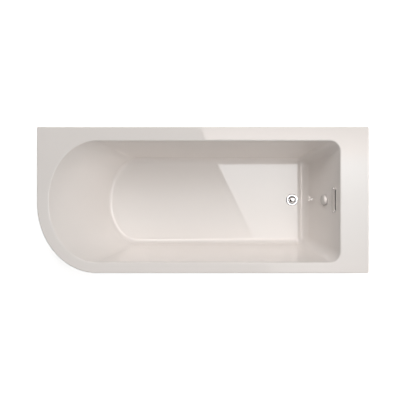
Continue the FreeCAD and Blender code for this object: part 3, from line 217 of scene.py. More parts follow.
class Shade:
    """One output of a material's nodes. Arithmetic between shades, or with plain numbers, adds Math nodes."""

    def __init__(self, socket):
        self.socket = socket

    def node(self, kind, settings, values, output=0):
        """Add another node: its settings first, then the values or shades of its inputs by name."""
        made = self.socket.id_data.nodes.new(kind)
        for name, value in settings.items():
            if name == "stops":
                ramp = made.color_ramp
                while len(ramp.elements) < len(value):
                    ramp.elements.new(1)
                for stop, (place, colour) in zip(ramp.elements, value):
                    stop.position = place
                    stop.color = (*colour, 1)
            else:
                setattr(made, name, value)
        for name, value in values.items():
            socket = next(s for s in made.inputs if name in (s.identifier, s.name))
            if isinstance(value, Shade):
                self.socket.id_data.links.new(value.socket, socket)
            else:
                socket.default_value = value
        return Shade(made.outputs[output])

    def math(self, operation, first, second=0.0):
        """Math node on one or two shades or numbers."""
        return self.node("ShaderNodeMath", {"operation": operation}, {"Value": first, "Value_001": second})

    def __add__(self, other):
        return self.math("ADD", self, other)

    def __sub__(self, other):
        return self.math("SUBTRACT", self, other)

    def __rsub__(self, other):
        return self.math("SUBTRACT", other, self)

    def __mul__(self, other):
        return self.math("MULTIPLY", self, other)

    __radd__ = __add__
    __rmul__ = __mul__

    def step(self, low, high):
        """Smooth rise from 0 to 1 while this value goes from low to high."""
        values = {"Value": self, "From Min": low, "From Max": high}
        return self.node("ShaderNodeMapRange", {"interpolation_type": "SMOOTHSTEP"}, values)

    def blend(self, first, second):
        """Colour that goes from the first to the second with this value."""
        colours = {"A_Color": first, "B_Color": second}
        colours = {name: c if isinstance(c, Shade) else (*c, 1) for name, c in colours.items()}
        return self.node("ShaderNodeMix", {"data_type": "RGBA"}, {"Factor_Float": self, **colours}, 2)

    def ramp(self, stops):
        """Colour that follows stops of place and colour with this value."""
        return self.node("ShaderNodeValToRGB", {"stops": stops}, {"Fac": self})

    def grey(self):
        """Brightness of this colour."""
        return self.node("ShaderNodeRGBToBW", {}, {"Color": self})

    def stretched(self, scale, turn=(0, 0, 0)):
        """Coordinates scaled along each axis, so that a pattern on them runs long or short there."""
        return self.node("ShaderNodeMapping", {}, {"Vector": self, "Scale": scale, "Rotation": turn})

    def noise(self, scale, detail=2.0, roughness=0.5):
        """Cloudy pattern on these coordinates."""
        values = {"Vector": self, "Scale": scale, "Detail": detail, "Roughness": roughness}
        return self.node("ShaderNodeTexNoise", {}, values)

    def cells(self, scale, feature="F1", output=0):
        """Distance, or with output 1 the colour, of the nearest of many scattered cells."""
        values = {"Vector": self, "Scale": scale}
        return self.node("ShaderNodeTexVoronoi", {"feature": feature}, values, output)

    def bump(self, strength, distance):
        """Surface direction from this value taken as a height."""
        values = {"Height": self, "Strength": strength, "Distance": distance}
        return self.node("ShaderNodeBump", {}, values)


def shader_input(material, name):
    """Input of a material's shader, its name written with _ for a space."""
    return material.node_tree.nodes["Principled BSDF"].inputs[name.replace("_", " ")]


def finish(name, **constants):
    """New material with constant inputs of its shader set, and the piece's own coordinates."""
    material = bpy.data.materials.new(name)
    material.use_nodes = True
    for key, value in constants.items():
        shader_input(material, key).default_value = value
    coordinates = material.node_tree.nodes.new("ShaderNodeTexCoord")
    return material, Shade(coordinates.outputs["Object"])


def feed(material, **inputs):
    """Link shades to the inputs of a material's shader and give the material back."""
    for key, shade in inputs.items():
        material.node_tree.links.new(shade.socket, shader_input(material, key))
    return material


def toned(colour, share):
    """A colour made darker or lighter by a share."""
    return tuple(share * channel for channel in colour)


def acrylic_finish(name, colour):
    """Glossy cast acrylic: a trace of slow colour drift, faint orange peel and dulling hair scratches."""
    material, place = finish(name, IOR=1.49)
    drift = place.noise(3.1, 3.0)
    scratch = place.stretched((14.0, 260.0, 90.0), (0.0, 0.0, 0.5)).noise(9.0, 2.0).step(0.66, 0.82)
    return feed(
        material,
        Base_Color=drift.blend(toned(colour, 0.975), toned(colour, 1.02)),
        Roughness=0.008 + 0.012 * drift + 0.05 * scratch,
        Normal=place.noise(90.0, 1.0).bump(0.004, 0.0006),
    )


def wall_points(x, y, z):
    """Points given in the end wall's frame: x along the wall, y up it and z into the basin, from the
    middle of its top edge."""
    lean = math.atan2(END_RUN, BASIN_DEPTH)
    axes = [(0, -1, 0), (math.sin(lean), 0, math.cos(lean)), (-math.cos(lean), 0, math.sin(lean))]
    return np.array([BASIN_X[1], 0, RIM_Z]) + np.stack(np.broadcast_arrays(x, y, z), -1) @ np.array(axes)


WALL_STRETCH = math.hypot(1, END_RUN / BASIN_DEPTH)
SLOT_Y, KNOB_Y = -0.070 * WALL_STRETCH, -0.170 * WALL_STRETCH
SLOT_WIDTH, SLOT_HEIGHT, SLOT_ROUND = 0.1232, 0.0466, 0.010
BUSH_HOLE, HOLE_STEPS = 0.0083, 48
CUT_REACH = (-0.012, 0.004)


def capped(rings):
    """Grid of rings with both ends drawn in to a point, so that the surface is closed."""
    rings = np.asarray(rings)
    first, last = (np.broadcast_to(ring.mean(0), ring.shape)[None] for ring in (rings[0], rings[-1]))
    return np.concatenate([first, rings, last]), False, True


def about(middle, width):
    """The two ends of a width about its middle."""
    return middle - width / 2, middle + width / 2


def once_round(steps):
    """Evenly stepped angles of one whole turn."""
    return np.linspace(0, 2 * np.pi, steps + 1)[:-1]


def wall_cutters():
    """Cutters through the end wall: the slot's rounded rectangle and the bush's circle, each a ring of x, y
    points in the wall's frame that is carried from behind the wall to before it."""
    slot = rounded_plan(about(0, SLOT_WIDTH), about(SLOT_Y, SLOT_HEIGHT), [(SLOT_ROUND, SLOT_ROUND)] * 4)
    turn = once_round(HOLE_STEPS)
    bush = np.stack([BUSH_HOLE * np.cos(turn), KNOB_Y + BUSH_HOLE * np.sin(turn)], 1)
    return [surface("cutter", [capped([wall_points(*outline.T, z) for z in CUT_REACH])])
            for outline in (slot, bush)]


def cut(piece, cutters):
    """Take the cutters' shapes out of a piece and remove the cutters."""
    for cutter in cutters:
        hole = piece.modifiers.new("hole", "BOOLEAN")
        hole.object = cutter
        hole.solver = "EXACT"
    whole = piece.evaluated_get(bpy.context.evaluated_depsgraph_get())
    piece.data = bpy.data.meshes.new_from_object(whole)
    piece.modifiers.clear()
    for cutter in cutters:
        bpy.data.objects.remove(cutter)
    piece.data.set_sharp_from_angle(angle=math.radians(SHARP))


def dress(piece, coat, node, body="tub"):
    """Give a new piece the finish from its coat, whose material slot name goes unused, attach it to the body
    that it moves with, and hide the modelled node that it stands for."""
    slot, material = coat
    piece.data.materials.clear()
    piece.data.materials.append(material)
    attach(piece, body)
    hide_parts(node)


tub = surface("tub_acrylic", [(shell_grid(), True, True)])
cut(tub, wall_cutters())
dress(tub, ("acrylic", acrylic_finish("white_acrylic", ACRYLIC_COLOUR)), "tub_shell")

# Fibreglass backing
# Chopped glass strands and resin, sprayed and rolled on behind the acrylic to stiffen it. It stays rough and
# straw-coloured, stops below the rim, and is cut through where the fittings pass.
GLASS_IN, GLASS_OUT, GLASS_TOP, GLASS_HOLE = 0.0053, 0.0083, 0.545, 0.0256
GLASS_COLOURS = ((0.50, 0.47, 0.36), (0.70, 0.68, 0.58))
STRAND_SCALE = (34.0, 400.0, 400.0)
STRAND_TURNS = ((0.0, 0.2, 0.1), (0.0, 0.9, 0.2), (0.0, 1.6, 0.5),
                (0.0, 2.4, 0.1), (0.0, 0.3, 1.3), (0.0, 2.8, 0.8))
ROLL_HEIGHT, ROLL_SLANT, ROLL_DOWN = 0.0004, 23, 31


def backing_grid():
    """Closed ring of rings: up the laminate's inner face from the waste hole, over its top edge and down the
    outer face, which is lifted by the product of two slow waves, as a rolled surface is."""
    inner = basin_side(GLASS_IN, 0, RIM_Z - GLASS_TOP)[::-1]
    outer = np.stack(basin_side(GLASS_OUT, 0, RIM_Z - GLASS_TOP))
    hole_top = waste_ring(inner[0], GLASS_HOLE, FLOOR_Z - GLASS_IN)
    hole_low = waste_ring(outer[-1], GLASS_HOLE, FLOOR_Z - GLASS_OUT)
    wave = np.sin(ROLL_SLANT * outer[1:].sum(2)) * np.cos(ROLL_DOWN * outer[1:, :, 2])
    outer[1:, :, 2] += ROLL_HEIGHT * (1 - wave)
    return np.concatenate([[hole_top], inner, outer, [hole_low]])


def fit(node, form, grids, coat, body="tub", sharp=SHARP, cutters=()):
    """Make, cut and dress the piece that stands for a modelled node, named for the node and its form."""
    piece = surface(node + "_" + form, grids, sharp)
    if cutters:
        cut(piece, cutters)
    dress(piece, coat, node, body)


def strand_finish():
    """Rolled laminate: flat strands crossing in many directions under resin, blotched and half glossy."""
    material, place = finish("glass_strand", IOR=1.52)
    mat = place.noise(300.0, 1.0).step(0.62, 0.8)
    for turn in STRAND_TURNS:
        strand = place.stretched((1.0, 1.0, 1.0), turn).stretched(STRAND_SCALE)
        mat = mat.math("MAXIMUM", mat, strand.noise(1.0, 1.0).step(0.58, 0.66))
    blotch = place.noise(16.0, 3.0).step(0.35, 0.7)
    resin = blotch.blend(GLASS_COLOURS[0], toned(GLASS_COLOURS[1], 0.85))
    return feed(
        material,
        Base_Color=(0.55 * mat).blend(resin, GLASS_COLOURS[1]),
        Roughness=0.52 - 0.2 * blotch + 0.1 * mat,
        Normal=(mat + 0.8 * place.noise(120.0, 2.0)).bump(0.4, 0.0008),
    )


laminate = ("fibreglass", strand_finish())
fit("fibreglass_backing", "skin", [(backing_grid(), True, True)], laminate, cutters=wall_cutters())

# Baseboard
# Chipboard sawn to size and bedded in the wet laminate under the floor, so that the cradle can be screwed to
# the tub. Its sawn edges show the chips lying flat.
CHIP_COLOURS = ((0.36, 0.24, 0.12), (0.60, 0.46, 0.29), (0.70, 0.58, 0.40))
CHIP_SCALE = 260.0
BOARD_ROUND = 0.0006


def swept(start, corner, end, steps):
    """Quadratic curve from a start to an end, drawn towards a corner: the squares of what is left and of what
    is done of the way weigh the two ends, and twice their product the corner."""
    share = np.linspace(0, 1, steps + 1)[:, None]
    return (1 - share) ** 2 * start + 2 * share * (1 - share) * corner + share ** 2 * end


def eased(points, radius, steps=3):
    """Closed outline with softened corners: at each corner a quadratic curve joins a point on the side before
    to one on the side after, both a radius away or at most 0.4 of the side, with a holding point beyond."""
    points = np.asarray(points, float)
    sides = [np.roll(points, 1, 0) - points, np.roll(points, -1, 0) - points]
    lengths = [np.maximum(np.linalg.norm(side, axis=1, keepdims=True), 1e-9) for side in sides]
    reach = np.broadcast_to(np.asarray(radius, float).reshape(-1, 1), (len(points), 1))
    ends = [points + side * np.minimum(reach / length, 0.4) for side, length in zip(sides, lengths)]
    holds = [points + side * np.minimum(1.3 * reach / length, 0.46) for side, length in zip(sides, lengths)]
    curve = swept(*(line[:, None] for line in (ends[0], points, ends[1])), steps)
    return np.concatenate([holds[0][:, None], curve, holds[1][:, None]], 1).reshape(-1, points.shape[1])


def bar(low, high, round_edge):
    """Square-cut bar between two corners: its softened section carried along its longest side, drawn in a
    little at both ends and closed."""
    low, high = np.asarray(low, float), np.asarray(high, float)
    along = int(np.argmax(high - low))
    across = [axis for axis in range(3) if axis != along]
    middle, half = (low + high)[across] / 2, (high - low)[across] / 2
    section = eased(middle + half * SQUARE, round_edge)
    drawn = middle + (section - middle) * (half - round_edge) / half
    stations = ((low[along], drawn), (low[along] + round_edge, section),
                (high[along] - round_edge, section), (high[along], drawn))
    return capped([np.insert(outline, along, place, axis=1) for place, outline in stations])


def chip_finish():
    """Pressed wood chips: cells of three browns, drawn out flat, with resin-dark joints."""
    material, place = finish("pressed_chips")
    flat = place.stretched((1.0, 1.0, 2.4))
    shift = 0.01 * place.noise(60.0)
    warped = flat.node("ShaderNodeVectorMath", {"operation": "ADD"}, {"Vector": flat, "Vector_001": shift})
    grey = warped.cells(CHIP_SCALE, output=1).grey()
    joint = warped.cells(CHIP_SCALE, "DISTANCE_TO_EDGE").step(0.0, 0.08)
    return feed(
        material,
        Base_Color=joint.blend(CHIP_COLOURS[0], grey.ramp(list(zip((0.1, 0.5, 0.9), CHIP_COLOURS)))),
        Roughness=0.72 + 0.14 * grey,
        Normal=(joint + 0.6 * grey).bump(0.35, 0.0005),
    )


chips = ("chipboard", chip_finish())
fit("baseboard", "chipboard", [bar(*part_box("baseboard"), BOARD_ROUND)], chips)

# Rim battens
# Planed softwood strips glued and laminated under the rim. They carry the wall brackets and the panel clips,
# and a wide strip of chipboard backs the deck at the drain end.
PINE_COLOURS = ((0.68, 0.52, 0.33), (0.46, 0.29, 0.14))
PINE_ACROSS, PINE_ALONG = 26.0, 1.6
BATTEN_ROUND = 0.0015


def pine_finish(name, along):
    """Softwood: growth rings stretched along the strip, darker late wood, and fine pores."""
    material, place = finish(name)
    grain = place.stretched([PINE_ALONG if axis == along else PINE_ACROSS for axis in range(3)])
    years = 9.0 * grain.noise(2.2, 4.0, 0.62)
    late = years.math("FRACT", years).step(0.25, 0.95)
    pores = grain.noise(22.0, 2.0).step(0.55, 0.75)
    return feed(
        material,
        Base_Color=(0.8 * late + 0.15 * pores).blend(*PINE_COLOURS),
        Roughness=0.56 + 0.16 * pores,
        Normal=(late + pores).bump(0.25, 0.0004),
    )


pine = [("batten_timber", pine_finish("pine_along_" + axis, number)) for number, axis in enumerate("xy")]
for side, along in (("back", 0), ("front", 0), ("head", 1)):
    fit("rim_batten_" + side, "pine", [bar(*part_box("rim_batten_" + side), BATTEN_ROUND)], pine[along])
fit("rim_batten_end", "chipboard", [bar(*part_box("rim_batten_end"), BOARD_ROUND)], chips)

# Cradle rails and centre bracket
# Galvanised steel strip, folded on a press: two channels under the baseboard carry the four corner legs, and
# a top-hat bracket the one in the middle.
STEEL, BEND, BEND_STEPS = 0.002, 0.003, 5
STEEL_COLOURS = ((0.50, 0.52, 0.54), (0.72, 0.73, 0.74))
HAT_FLANGE = 0.025
STUD_HOLE = 0.0063
UP = np.array([0.0, 0.0, 1.0])
LEG_STAND = {name: np.mean(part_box("leg_stud_" + name), axis=0)[:2] for name in
             ("head_front", "head_back", "drain_front", "drain_back", "centre")}


def unit(vector):
    """Vector of length 1 in the same direction."""
    return vector / np.linalg.norm(vector)


def bent_line(points, radius):
    """Open line whose inner corners are swept by quadratic curves that start and end a radius away."""
    points = np.asarray(points, float)
    parts = [points[:1]]
    for before, corner, after in zip(points, points[1:], points[2:]):
        start, end = corner + radius * unit(before - corner), corner + radius * unit(after - corner)
        parts.append(swept(start, corner, end, BEND_STEPS))
    return np.concatenate(parts + [points[-1:]])


def fold_lines(line, thick, bends):
    """The two faces of a folded sheet's section: a line with square corners and the line a thickness to its
    right, whose points move square to each run that they end, both swept at their corners."""
    runs = np.diff(line, axis=0)
    square = thick * np.stack([runs[:, 1], -runs[:, 0]], 1) / np.linalg.norm(runs, axis=1, keepdims=True)
    beside = line + np.pad(square, ((0, 1), (0, 0))) + np.pad(square, ((1, 0), (0, 0)))
    return [bent_line(face, bend) for face, bend in zip((line, beside), bends)]


def sheet_between(outer, inner):
    """Plate with two matching faces given as point grids, closed by strips along its four edges."""
    grids = [outer, inner]
    for pick in (np.s_[0], np.s_[-1], np.s_[:, 0], np.s_[:, -1]):
        grids.append(np.stack([outer[pick], inner[pick]]))
    return [(grid, False, False) for grid in grids]


def folded(line, thick, bends, axis, ends):
    """Folded strip: both lines of its section, placed at the two ends of its width along an axis."""
    return sheet_between(*(np.stack([np.insert(face, axis, end, axis=1) for end in ends], 1)
                           for face in fold_lines(line, thick, bends)))


def circle_about(along, columns):
    """Unit circle square to a direction: the cosine and sine of the turn times two sides square to it."""
    side = unit(np.cross(along, (0, 1, 0) if abs(along[1]) < 0.9 else (1, 0, 0)))
    turn = once_round(columns)[:, None]
    return np.cos(turn) * side + np.sin(turn) * np.cross(along, side)


def turned(place, along, profile, columns=48):
    """Surface of revolution: (radius, height) points carried round a line from a place along a direction."""
    radius, height = np.asarray(profile, float).T[:, :, None, None]
    return np.asarray(place) + radius * circle_about(along, columns) + height * np.asarray(along, float)


def peg(place, along, radius, length):
    """Closed round bar from a place along a direction, as a cutter."""
    return surface("cutter", [capped(turned(place, along, [(radius, 0), (radius, length)], columns=32))])


def spangle_finish():
    """Hot-dip zinc: flat crystals of differing brightness, dulled by a white bloom in patches."""
    material, place = finish("galvanised_strip", Metallic=1.0)
    grey = place.cells(110.0, output=1).grey()
    bloom = place.noise(28.0, 4.0).step(0.45, 0.75)
    return feed(
        material,
        Base_Color=(0.7 * grey + 0.2 * bloom).blend(*STEEL_COLOURS),
        Roughness=0.30 + 0.14 * grey + 0.16 * bloom,
        Normal=(grey + place.noise(400.0)).bump(0.12, 0.0003),
    )


galvanised = ("galvanised_steel", spangle_finish())
for end in ("head", "drain"):
    node = "cradle_rail_" + end
    low, high = np.array(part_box(node))
    line = [(low[0], low[2]), (low[0], high[2]), (high[0], high[2]), (high[0], low[2])]
    rail = folded(line, STEEL, (BEND, BEND - STEEL), 1, (low[1], high[1]))
    holes = [peg((*LEG_STAND[end + side], high[2] - 2 * STEEL), UP, STUD_HOLE, 4 * STEEL)
             for side in ("_front", "_back")]
    fit(node, "steel", rail, galvanised, cutters=holes)

low, high = np.array(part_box("centre_leg_bracket"))
hat_in, hat_out, flange_z = low[0] + HAT_FLANGE, high[0] - HAT_FLANGE, high[2] - STEEL
line = [(low[0], flange_z), (hat_in, flange_z), (hat_in, low[2]), (hat_out, low[2]),
        (hat_out, flange_z), (high[0], flange_z)]
hat = folded(line, -STEEL, (BEND, BEND), 1, (low[1], high[1]))
hole = peg((*LEG_STAND["centre"], low[2] - STEEL), UP, STUD_HOLE, 3 * STEEL)
fit("centre_leg_bracket", "steel", hat, galvanised, cutters=[hole])

# Legs and feet
# Five threaded steel rods, each with a nut above and one below its plate, screwed into black nylon feet that
# take up an uneven floor.
STUD_RADIUS, STUD_ABOVE = 0.006, 0.026
PITCH, THREAD_DEPTH = 0.00175, 0.0009
TURN_ROWS, TURN_COLUMNS = 6, 20
NUT_ACROSS, NUT_HEIGHT, NUT_LEAD = 0.019, 0.008, 0.0006
NUT_FACE, NUT_CHAMFER, NUT_COLUMNS = 0.95, math.radians(30), 72
FIT = 0.0003
ZINC_COLOURS = ((0.58, 0.57, 0.55), (0.80, 0.79, 0.76))
NYLON_COLOURS = ((0.028, 0.028, 0.030), (0.060, 0.060, 0.062))
FOOT_RADIUS, FOOT_SOLE, FOOT_HEIGHT, FOOT_NECK = 0.026, 0.006, 0.016, 0.011
HOLLOW_RADIUS, HOLLOW_MOUTH, HOLLOW_DEPTH = 0.022, 0.023, 0.0012
FOOT_SECTION = [(0, HOLLOW_DEPTH), (HOLLOW_RADIUS, HOLLOW_DEPTH), (HOLLOW_MOUTH, 0), (FOOT_RADIUS, 0),
                (FOOT_RADIUS, FOOT_SOLE), (FOOT_NECK, FOOT_HEIGHT), (STUD_RADIUS, FOOT_HEIGHT),
                (STUD_RADIUS, FOOT_SOLE), (0, FOOT_SOLE)]
FOOT_ROUNDS = [0, 0.0005, 0.0005, 0.0009, 0.0012, 0.0012, 0.0005, 0.0005, 0]


def threaded(place, along, radius, length):
    """Threaded rod on a grid of height and angle: the radius follows a triangle wave of height less the
    angle's share of the pitch, so that the ridge climbs one pitch a turn, and fades out at both ends."""
    height = np.linspace(0, length, int(length / PITCH * TURN_ROWS))[:, None]
    turn = np.linspace(0, 1, TURN_COLUMNS + 1)[None, :-1]
    ridge = 2 * np.abs((height / PITCH - turn) % 1 - 0.5)
    ends = np.clip(np.minimum(height, length - height) / PITCH, 0, 1)
    across = radius - THREAD_DEPTH * (1 - ridge * ends)
    line = np.asarray(place) + height[..., None] * np.asarray(along)
    return capped(line + across[..., None] * circle_about(along, TURN_COLUMNS))


def hexagon(place, along, across, height, bore):
    """Nut on a closed ring of rings: bore, bearing face out to a circle, and flats whose distance from the
    axis is the half width over the cosine of the angle from the flat's middle, chamfered down past that
    circle."""
    turn = once_round(NUT_COLUMNS)
    flat = across / 2 / np.cos((turn + np.pi / 6) % (np.pi / 3) - np.pi / 6)
    face, flush = np.full(NUT_COLUMNS, NUT_FACE * across / 2), np.zeros(NUT_COLUMNS)
    drop = (flat - face) * math.tan(NUT_CHAMFER)
    hole, lead = flush + bore, flush + NUT_LEAD
    rings = [(hole, lead), (hole + lead, flush), (face, flush), (flat, drop), (flat, height - drop),
             (face, flush + height), (hole + lead, flush + height), (hole, height - lead)]
    circle, along = circle_about(along, NUT_COLUMNS), np.asarray(along, float)
    return np.stack([place + r[:, None] * circle + h[:, None] * along for r, h in rings]), True, True


def lathed(place, along, section, rounds, columns=64, steps=3):
    """Closed section of (radius, height) points with softened corners, carried round."""
    return turned(place, along, eased(section, rounds, steps), columns), True, True


def plated_finish(name, colours, rough):
    """Bright plating: drifting tone, fine drawn lines and worn, duller patches."""
    material, place = finish(name, Metallic=1.0)
    drift = place.noise(70.0, 3.0)
    drawn = place.stretched((40.0, 40.0, 900.0)).noise(3.0, 2.0)
    worn = place.noise(190.0, 3.0).step(0.52, 0.72)
    return feed(
        material,
        Base_Color=(0.6 * drift + 0.4 * drawn).blend(*colours),
        Roughness=rough + 0.12 * worn + 0.06 * drawn,
        Normal=(drawn + worn).bump(0.08, 0.0002),
    )


def moulded_finish(name, colours, rough, grain=700.0):
    """Injection-moulded plastic: slow tone drift, spark-eroded grain and polish where it is handled."""
    material, place = finish(name, IOR=1.48)
    drift = place.noise(24.0, 3.0)
    spark = place.noise(grain, 2.0)
    rubbed = place.noise(9.0, 3.0).step(0.48, 0.7)
    return feed(
        material,
        Base_Color=(0.7 * drift + 0.3 * spark).blend(*colours),
        Roughness=rough + 0.12 * spark - 0.10 * rubbed,
        Normal=spark.bump(0.10, 0.0002),
    )


zinc = ("zinc_fixings", plated_finish("zinc_plate", ZINC_COLOURS, 0.22))
nylon = ("foot_plastic", moulded_finish("black_nylon", NYLON_COLOURS, 0.42))
nuts = []
for name, stand in LEG_STAND.items():
    low_z, high_z = np.array(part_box("leg_stud_" + name))[:, 2]
    stud = threaded((*stand, low_z), UP, STUD_RADIUS, high_z - low_z)
    fit("leg_stud_" + name, "thread", [stud], zinc, "leg_" + name, sharp=60)
    foot = lathed((*stand, 0), UP, FOOT_SECTION, FOOT_ROUNDS)
    fit("foot_pad_" + name, "nylon", [foot], nylon, "leg_" + name)
    for nut_z in (high_z - STUD_ABOVE, high_z - STUD_ABOVE - STEEL - NUT_HEIGHT):
        nuts.append(hexagon((*stand, nut_z), UP, NUT_ACROSS, NUT_HEIGHT, STUD_RADIUS + FIT))
fit("leg_nuts", "zinc", nuts, zinc, sharp=25)

# Wall brackets
# Folded galvanised strips screwed under the back batten, stepped below the lip, with a plate that is plugged
# to the wall.
BRACKET_WIDTH, BRACKET_HOLE = 0.040, 0.0035
BRACKET_XS = (-0.500, 0.500)
BRACKET_INSET, BRACKET_DROP, BRACKET_PLATE = 0.0115, 0.030, 0.050
BRACKET_BENDS = (BEND, 0.0025)
low, high = np.array(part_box("wall_brackets"))
step_y, step_z = SHELL_HIGH[1] - BRACKET_INSET, high[2] - BRACKET_DROP
line = [(low[1], high[2]), (step_y, high[2]), (step_y, step_z), (high[1], step_z), (high[1], low[2])]
strips, holes = [], []
for x in BRACKET_XS:
    strips += folded(line, STEEL, BRACKET_BENDS, 0, about(x, BRACKET_WIDTH))
    plate = (x, high[1] - 2 * STEEL, step_z - (BRACKET_PLATE + STEEL) / 2)
    holes.append(peg(plate, (0, 1, 0), BRACKET_HOLE, 4 * STEEL))
fit("wall_brackets", "steel", strips, galvanised, cutters=holes)

# Front panel
# One vacuum-formed sheet that wraps the head, the long corner and the front. Its top is tucked behind the
# lip, its foot is turned in along the floor, and it ends short of the walls.
PANEL_INSET, PANEL_FOOT, PANEL_THICK = 0.0065, 0.0245, 0.003
PANEL_BENDS = (0.004, 0.002)
PANEL_STEPS = 12
low, high = np.array(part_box("front_panel"))


def panel_path(inset, back, end):
    """Open line in plan: down the head side, round the long corner and along the front, moved inwards."""
    arc = rim_plan(inset)[:CORNER_STEPS + 1]
    share = np.linspace(0, 1, PANEL_STEPS + 1)[:-1, None]
    head, front = np.array([arc[0, 0], back]), np.array([end, arc[-1, 1]])
    return np.concatenate([head + (arc[0] - head) * share, arc, front + (arc[-1] - front) * share[::-1]])


line = [(PANEL_INSET, high[2]), (PANEL_INSET, low[2]), (PANEL_FOOT, low[2])]
faces = [np.stack([level(panel_path(inset, high[1], high[0]), z) for inset, z in face])
         for face in fold_lines(line, -PANEL_THICK, PANEL_BENDS)]
panel_plastic = ("panel_plastic", acrylic_finish("panel_acrylic", toned(ACRYLIC_COLOUR, 0.99)))
fit("front_panel", "sheet", sheet_between(*faces), panel_plastic)

# Panel stays and clips
# Galvanised angles: a stay is bolted under each rail's front end and the panel is screwed to it, and clips
# under the battens keep the panel's top edge against the lip.
STAY_WIDTH, STAY_BOLT = 0.020, 0.011
CLIP_WIDTH, CLIP_LAP, CLIP_STEEL, CLIP_BENDS = 0.030, 0.030, 0.0015, (0.0022, 0.0008)
RAIL_XS = (-0.330, 0.330)
CLIP_XS, CLIP_HEAD_Y = (-0.420, 0.120, 0.600), 0.180
BOLT_RADIUS, BOLT_ACROSS, BOLT_HEAD = 0.003, 0.00866, 0.004
low, high = np.array(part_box("panel_stays"))
line = [(high[1], low[2]), (low[1], low[2]), (low[1], high[2])]
strips, bolts = [], []
for x in RAIL_XS:
    strips += folded(line, STEEL, (BEND, BEND - STEEL), 0, about(x, STAY_WIDTH))
    head = np.array([x, high[1] - STAY_BOLT, low[2] - BOLT_HEAD])
    for rise in (0, BOLT_HEAD + 2 * STEEL):
        bolts.append(hexagon(head + rise * UP, UP, BOLT_ACROSS, BOLT_HEAD, BOLT_RADIUS))
    bolts.append(threaded(head + FIT * UP, UP, BOLT_RADIUS, 2 * (BOLT_HEAD + STEEL - FIT)))
fit("panel_stays", "steel", strips, galvanised)
fit("stay_bolts", "zinc", bolts, zinc, sharp=25)

low, high = np.array(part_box("panel_clips"))
strips = []
for place, axis in [(x, 0) for x in CLIP_XS] + [(CLIP_HEAD_Y, 1)]:
    edge = low[1 - axis]
    line = [(edge + CLIP_LAP, high[2]), (edge, high[2]), (edge, low[2])]
    strips += folded(line, -CLIP_STEEL, CLIP_BENDS, axis, about(place, CLIP_WIDTH))
fit("panel_clips", "steel", strips, galvanised)

# Screws
# Steel pan-head screws with a cross recess. Zinc-plated ones go through the cradle into the baseboard, and
# through brackets and clips into the battens. Chromed ones, which show, hold the panel and the bezel.
HEAD_RADIUS, HEAD_HEIGHT, HEAD_EDGE = 0.0045, 0.0022, 0.0012
SHANK_RADIUS, SCREW_LENGTH = 0.002, 0.012
RECESS_REACH, RECESS_HALF, RECESS_DEPTH = 0.0027, 0.00045, 0.0011
RECESS_END, RECESS_FLANK = 0.0004, 0.0003
HEAD_ROWS, HEAD_COLUMNS = 20, 72
BATTEN_X, BATTEN_Y = 0.8235, 0.3485
CRADLE_SCREWS = ((RAIL_XS[1], 0.075), (0.0425, 0.015))
BEZEL_THICK, BEZEL_SCREW_X, BEZEL_SCREW_LENGTH = 0.002, 0.059, 0.0243
INWARD = wall_points(0, 0, 1) - wall_points(0, 0, 0)
CHROME_COLOURS = ((0.66, 0.665, 0.675), (0.74, 0.74, 0.75))


def pan_screw(seat, into, length):
    """Head on a grid of radius and angle: a shallow dome less a recess that is deep where the nearer of the
    two cross arms is closer than half its width. The shank is a threaded rod below it."""
    radius = np.linspace(0, HEAD_RADIUS, HEAD_ROWS)[:, None]
    turn = once_round(HEAD_COLUMNS)
    x, y = np.abs(radius * np.cos(turn)), np.abs(radius * np.sin(turn))
    arm = np.clip((RECESS_HALF - np.minimum(x, y)) / RECESS_FLANK + 0.5, 0, 1)
    inside = np.clip((RECESS_REACH - np.maximum(x, y)) / RECESS_END + 0.5, 0, 1)
    dome = HEAD_HEIGHT - (HEAD_HEIGHT - HEAD_EDGE) * (radius / HEAD_RADIUS) ** 3
    height = dome - RECESS_DEPTH * arm * inside
    circle = circle_about(into, HEAD_COLUMNS)
    top = seat + radius[..., None] * circle - height[..., None] * np.asarray(into, float)
    under = turned(seat, into, [(HEAD_RADIUS, 0), (0, 0)], HEAD_COLUMNS)
    return [(np.concatenate([top, under]), False, True), threaded(seat, into, SHANK_RADIUS, length)]


def chrome_finish(name, dull, colours):
    """Plating, polished or satin: wiped smears and pin-prick pits dull its gloss a little more."""
    material, place = finish(name, Metallic=1.0)
    smear = place.stretched((30.0, 90.0, 60.0)).noise(2.0, 3.0)
    pits = place.cells(900.0).step(0.05, 0.12)
    return feed(
        material,
        Base_Color=smear.blend(*colours),
        Roughness=dull + 0.05 * smear.step(0.45, 0.8) + 0.03 * (1 - pits),
        Normal=pits.bump(0.01, 0.00004),
    )


chrome = ("chrome", chrome_finish("polished_chrome", 0.035, CHROME_COLOURS))
plate_z, bracket_z, clip_z = (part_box(group)[0][2] + HEAD_HEIGHT
                              for group in ("cradle_screws", "wall_bracket_screws", "clip_screws"))
panel_y, panel_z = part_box("panel_screws")[0][1] + HEAD_HEIGHT, np.mean(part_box("panel_screws"), axis=0)[2]
SCREWS = {
    "cradle_screws": ([(*place, plate_z) for reach in CRADLE_SCREWS for place in SQUARE * reach],
                      UP, SCREW_LENGTH, zinc),
    "wall_bracket_screws": ([(x, BATTEN_Y, bracket_z) for x in BRACKET_XS], UP, SCREW_LENGTH, zinc),
    "clip_screws": ([(x, -BATTEN_Y, clip_z) for x in CLIP_XS] + [(-BATTEN_X, CLIP_HEAD_Y, clip_z)],
                    UP, SCREW_LENGTH, zinc),
    "panel_screws": ([(x, panel_y, panel_z) for x in RAIL_XS], (0, 1, 0), SCREW_LENGTH, chrome),
    "bezel_screws": ([wall_points(x, SLOT_Y, BEZEL_THICK) for x in (-BEZEL_SCREW_X, BEZEL_SCREW_X)],
                     -INWARD, BEZEL_SCREW_LENGTH, chrome),
}
